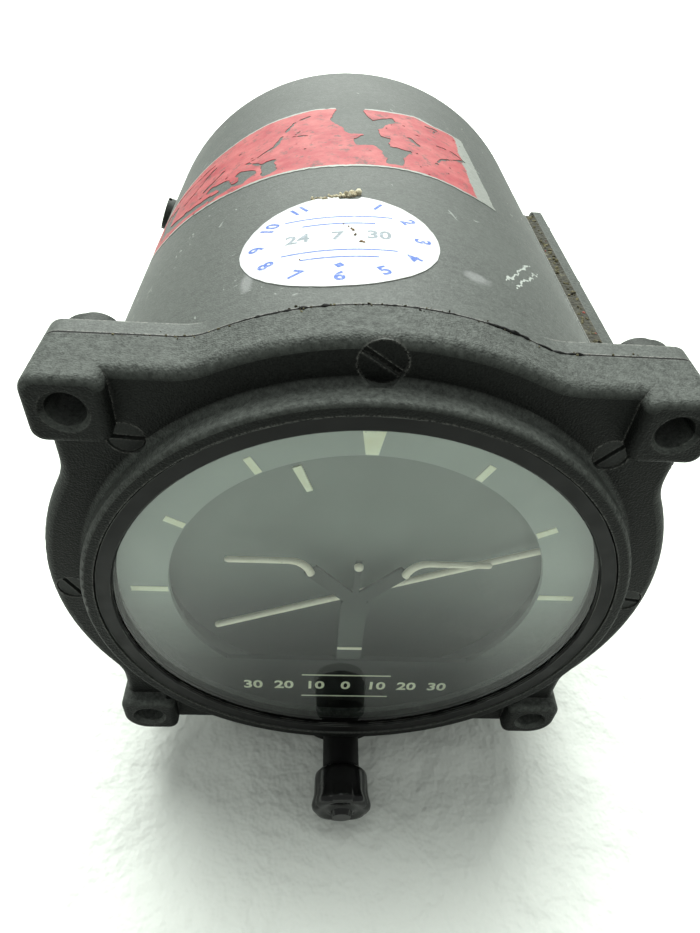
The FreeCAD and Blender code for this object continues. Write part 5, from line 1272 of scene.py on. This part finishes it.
def swept_rod(path, radii, steps=14):
    """A closed round rod through points at one station, with a radius at each point, in millimetres."""
    rod = bmesh.new()
    rings = []
    for index, (place, radius) in enumerate(zip(path, radii)):
        before = path[max(0, index - 1)]
        after = path[min(len(path) - 1, index + 1)]
        run = (Vector(after) - Vector(before)).normalized()
        across = Vector((0.0, 1.0, 0.0))
        up = run.cross(across)
        ring = []
        for step in range(steps):
            angle = 2.0 * math.pi * step / steps
            off = math.cos(angle) * across + math.sin(angle) * up
            ring.append(rod.verts.new((Vector(place) + radius * off) * MM))
        rings.append(ring)
    for near, far in zip(rings, rings[1:]):
        join_rings(rod, near, far)
    rod.faces.new(rings[0])
    rod.faces.new(reversed(rings[-1]))
    return mesh_from(rod, "rod")


def joined(meshes, name):
    """Several meshes as one."""
    whole = bmesh.new()
    for mesh in meshes:
        whole.from_mesh(mesh)
    return mesh_from(whole, name)


def make_wings():
    """The airplane's cream wings: bent wire, thicker where it turns down to the bracket."""
    low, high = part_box("airplane_wings")
    station = (low.y + high.y) / 2.0 / MM
    tip, tip_length = 17.4, 0.45
    level = 6.6
    bend_start, bend_corner, bend_end = (9.2, level), (7.0, 6.5), (6.25, 4.1)
    straight = tip - tip_length - bend_start[0]
    wire_radius = 0.42
    thicker = 0.13
    rods = []
    for side in (-1.0, 1.0):
        path = []
        radii = []
        for share in (0.0, 0.12, 0.35, 1.0):
            path.append((side * (tip - tip_length * share), station, level))
            radii.append(wire_radius * math.sqrt(max(0.02, 1.0 - (1.0 - share) ** 2)))
        for step in range(1, 7):
            path.append((side * (tip - tip_length - straight * step / 6.0), station, level))
            radii.append(wire_radius)
        for step in range(1, 11):
            share = step / 10.0
            x, z = [(1.0 - share) ** 2 * bend_start[axis] + 2.0 * share * (1.0 - share) * bend_corner[axis]
                    + share ** 2 * bend_end[axis] for axis in range(2)]
            path.append((side * x, station, z))
            radii.append(wire_radius + thicker * share)
        rods.append(swept_rod(path, radii))
    piece = add_piece("airplane_wire_wings", joined(rods, "wings"), "ivory",
                      "miniature_airplane", 50.0)
    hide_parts("airplane_wings")


def make_knob():
    """The setting knob: a round shouldered barrel, flared and scalloped at its front, with a hollowed face."""
    low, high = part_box("knob")
    middle = (low.z + high.z) / 2.0 / MM
    back = high.y / MM
    front = low.y / MM
    steps = 160
    scallop_depth = 0.32
    # Radius, distance forward from the knob's back, and how deep the scallops are there
    profile = [(1.62, 0.0, 0.0), (3.1, 0.0, 0.0), (3.75, 0.12, 0.0), (4.2, 0.55, 0.05), (4.32, 1.1, 0.15),
               (4.34, 2.2, 0.3), (4.36, 3.2, 0.5), (4.46, 4.1, 0.75), (4.66, 4.8, 1.0), (4.75, 5.35, 1.0),
               (4.62, 5.85, 1.0), (4.25, 6.2, 0.8), (3.6, 6.3, 0.4), (3.0, 6.05, 0.1), (2.3, 6.0, 0.0),
               (1.7, 6.35, 0.0), (1.45, back - front, 0.0), (0.0, back - front, 0.0)]
    knob = bmesh.new()
    rings = []
    for radius, forward, lobes in profile:
        if radius == 0.0:
            rings.append([knob.verts.new(Vector((0.0, back - forward, middle)) * MM)])
            continue
        ring = []
        for step in range(steps):
            angle = 2.0 * math.pi * step / steps
            scallop = scallop_depth * lobes * (1.0 - abs(math.cos(4.0 * angle)) ** 0.7)
            reach = radius - scallop
            ring.append(knob.verts.new(Vector((reach * math.sin(angle), back - forward,
                                               middle + reach * math.cos(angle))) * MM))
        rings.append(ring)
    for near, far in zip(rings, rings[1:]):
        join_rings(knob, near, far)
    knob.faces.new(rings[0])
    piece = add_piece("scalloped_knob", mesh_from(knob, "scalloped_knob"), "knob",
                      "setting_knob", 40.0)
    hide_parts("knob", "knob_set_screw")


make_wings()
make_knob()
make_screws()
make_thread()
make_label()
make_sticker()
make_glue()
make_seam()
make_side_crumbs()
make_glass_specks()
make_dial_numbers()


# Studio

def make_floor():
    """A plain pale floor under the lowest point."""
    finish = Finish("pale_floor")
    place = finish.place_on_piece()
    cloud = finish.noise(place, 22.0, 5.0, 0.6)
    dents = finish.noise(place, 95.0, 4.0, 0.65)
    specks = finish.ramp(finish.noise(place, 320.0, 3.0, 0.6), [(0.72, 0.0), (0.80, 1.0)])
    tone = finish.mix(cloud, grey(0.80, (0.97, 1.0, 0.95)), grey(0.88, (0.97, 1.0, 0.95)))
    speckled = finish.mix(finish.maths("MULTIPLY", specks, 0.28), tone, grey(0.55, (1.0, 1.0, 0.95)))
    finish.set(Base_Color=speckled, Roughness=0.8)
    finish.bump(finish.maths("ADD", cloud, finish.maths("MULTIPLY", dents, 0.40)), 0.75, 0.006)
    mesh = bpy.data.meshes.new("floor")
    half = 2.5
    z = cad_low.z
    corners = [(-half, -half, z), (half, -half, z), (half, half, z), (-half, half, z)]
    mesh.from_pydata(corners, [], [(0, 1, 2, 3)])
    floor = held("floor", mesh)
    mesh.materials.append(finish.material)


def add_area_light(name, place, target, size, watts, colour):
    """A round area light that looks at a place."""
    light = bpy.data.lights.new(name, "AREA")
    light.shape = "DISK"
    light.size = size
    light.energy = watts
    light.color = colour
    lamp = held(name, light)
    lamp.location = place
    lamp.rotation_euler = (Vector(target) - Vector(place)).to_track_quat("-Z", "Y").to_euler()


def make_lights():
    """Soft light from high behind the instrument, a weak one from the rear, and even light all round."""
    tint = (0.95, 1.0, 0.95)
    world = bpy.data.worlds.new("studio")
    world.use_nodes = True
    world.node_tree.nodes["Background"].inputs["Color"].default_value = (*tint, 1.0)
    world.node_tree.nodes["Background"].inputs["Strength"].default_value = 0.50
    bpy.context.scene.world = world
    add_area_light("high_light", (-0.08, 0.72, 1.2), (0.0, 0.0, 0.0), 1.4, 50.0, tint)
    add_area_light("rear_light", (0.0, 1.5, 0.45), (0.0, 0.1, 0.0), 1.2, 6.0, tint)
    bpy.context.scene.view_settings.view_transform = "Standard"


def make_camera():
    """The photograph's camera, fitted to it: close above the dial, looking down at it."""
    sensor = 36.0
    focal_pixels = 676.29
    data = bpy.data.cameras.new("camera")
    data.sensor_width = sensor
    data.lens = sensor * focal_pixels / IMAGE_HEIGHT
    data.clip_start = 0.005
    data.clip_end = 20.0
    camera = held("camera", data)
    turn = Vector((2.3183, 0.0103, 0.0851))
    to_camera = Matrix.Rotation(turn.length, 3, turn.normalized())
    flip = Matrix(((1, 0, 0), (0, -1, 0), (0, 0, -1)))
    place = Matrix.Translation(Vector((-6.786, -53.41, 74.98)) * MM)
    camera.matrix_world = place @ (to_camera.transposed() @ flip).to_4x4()
    bpy.context.scene.camera = camera


make_floor()
make_lights()
make_camera()
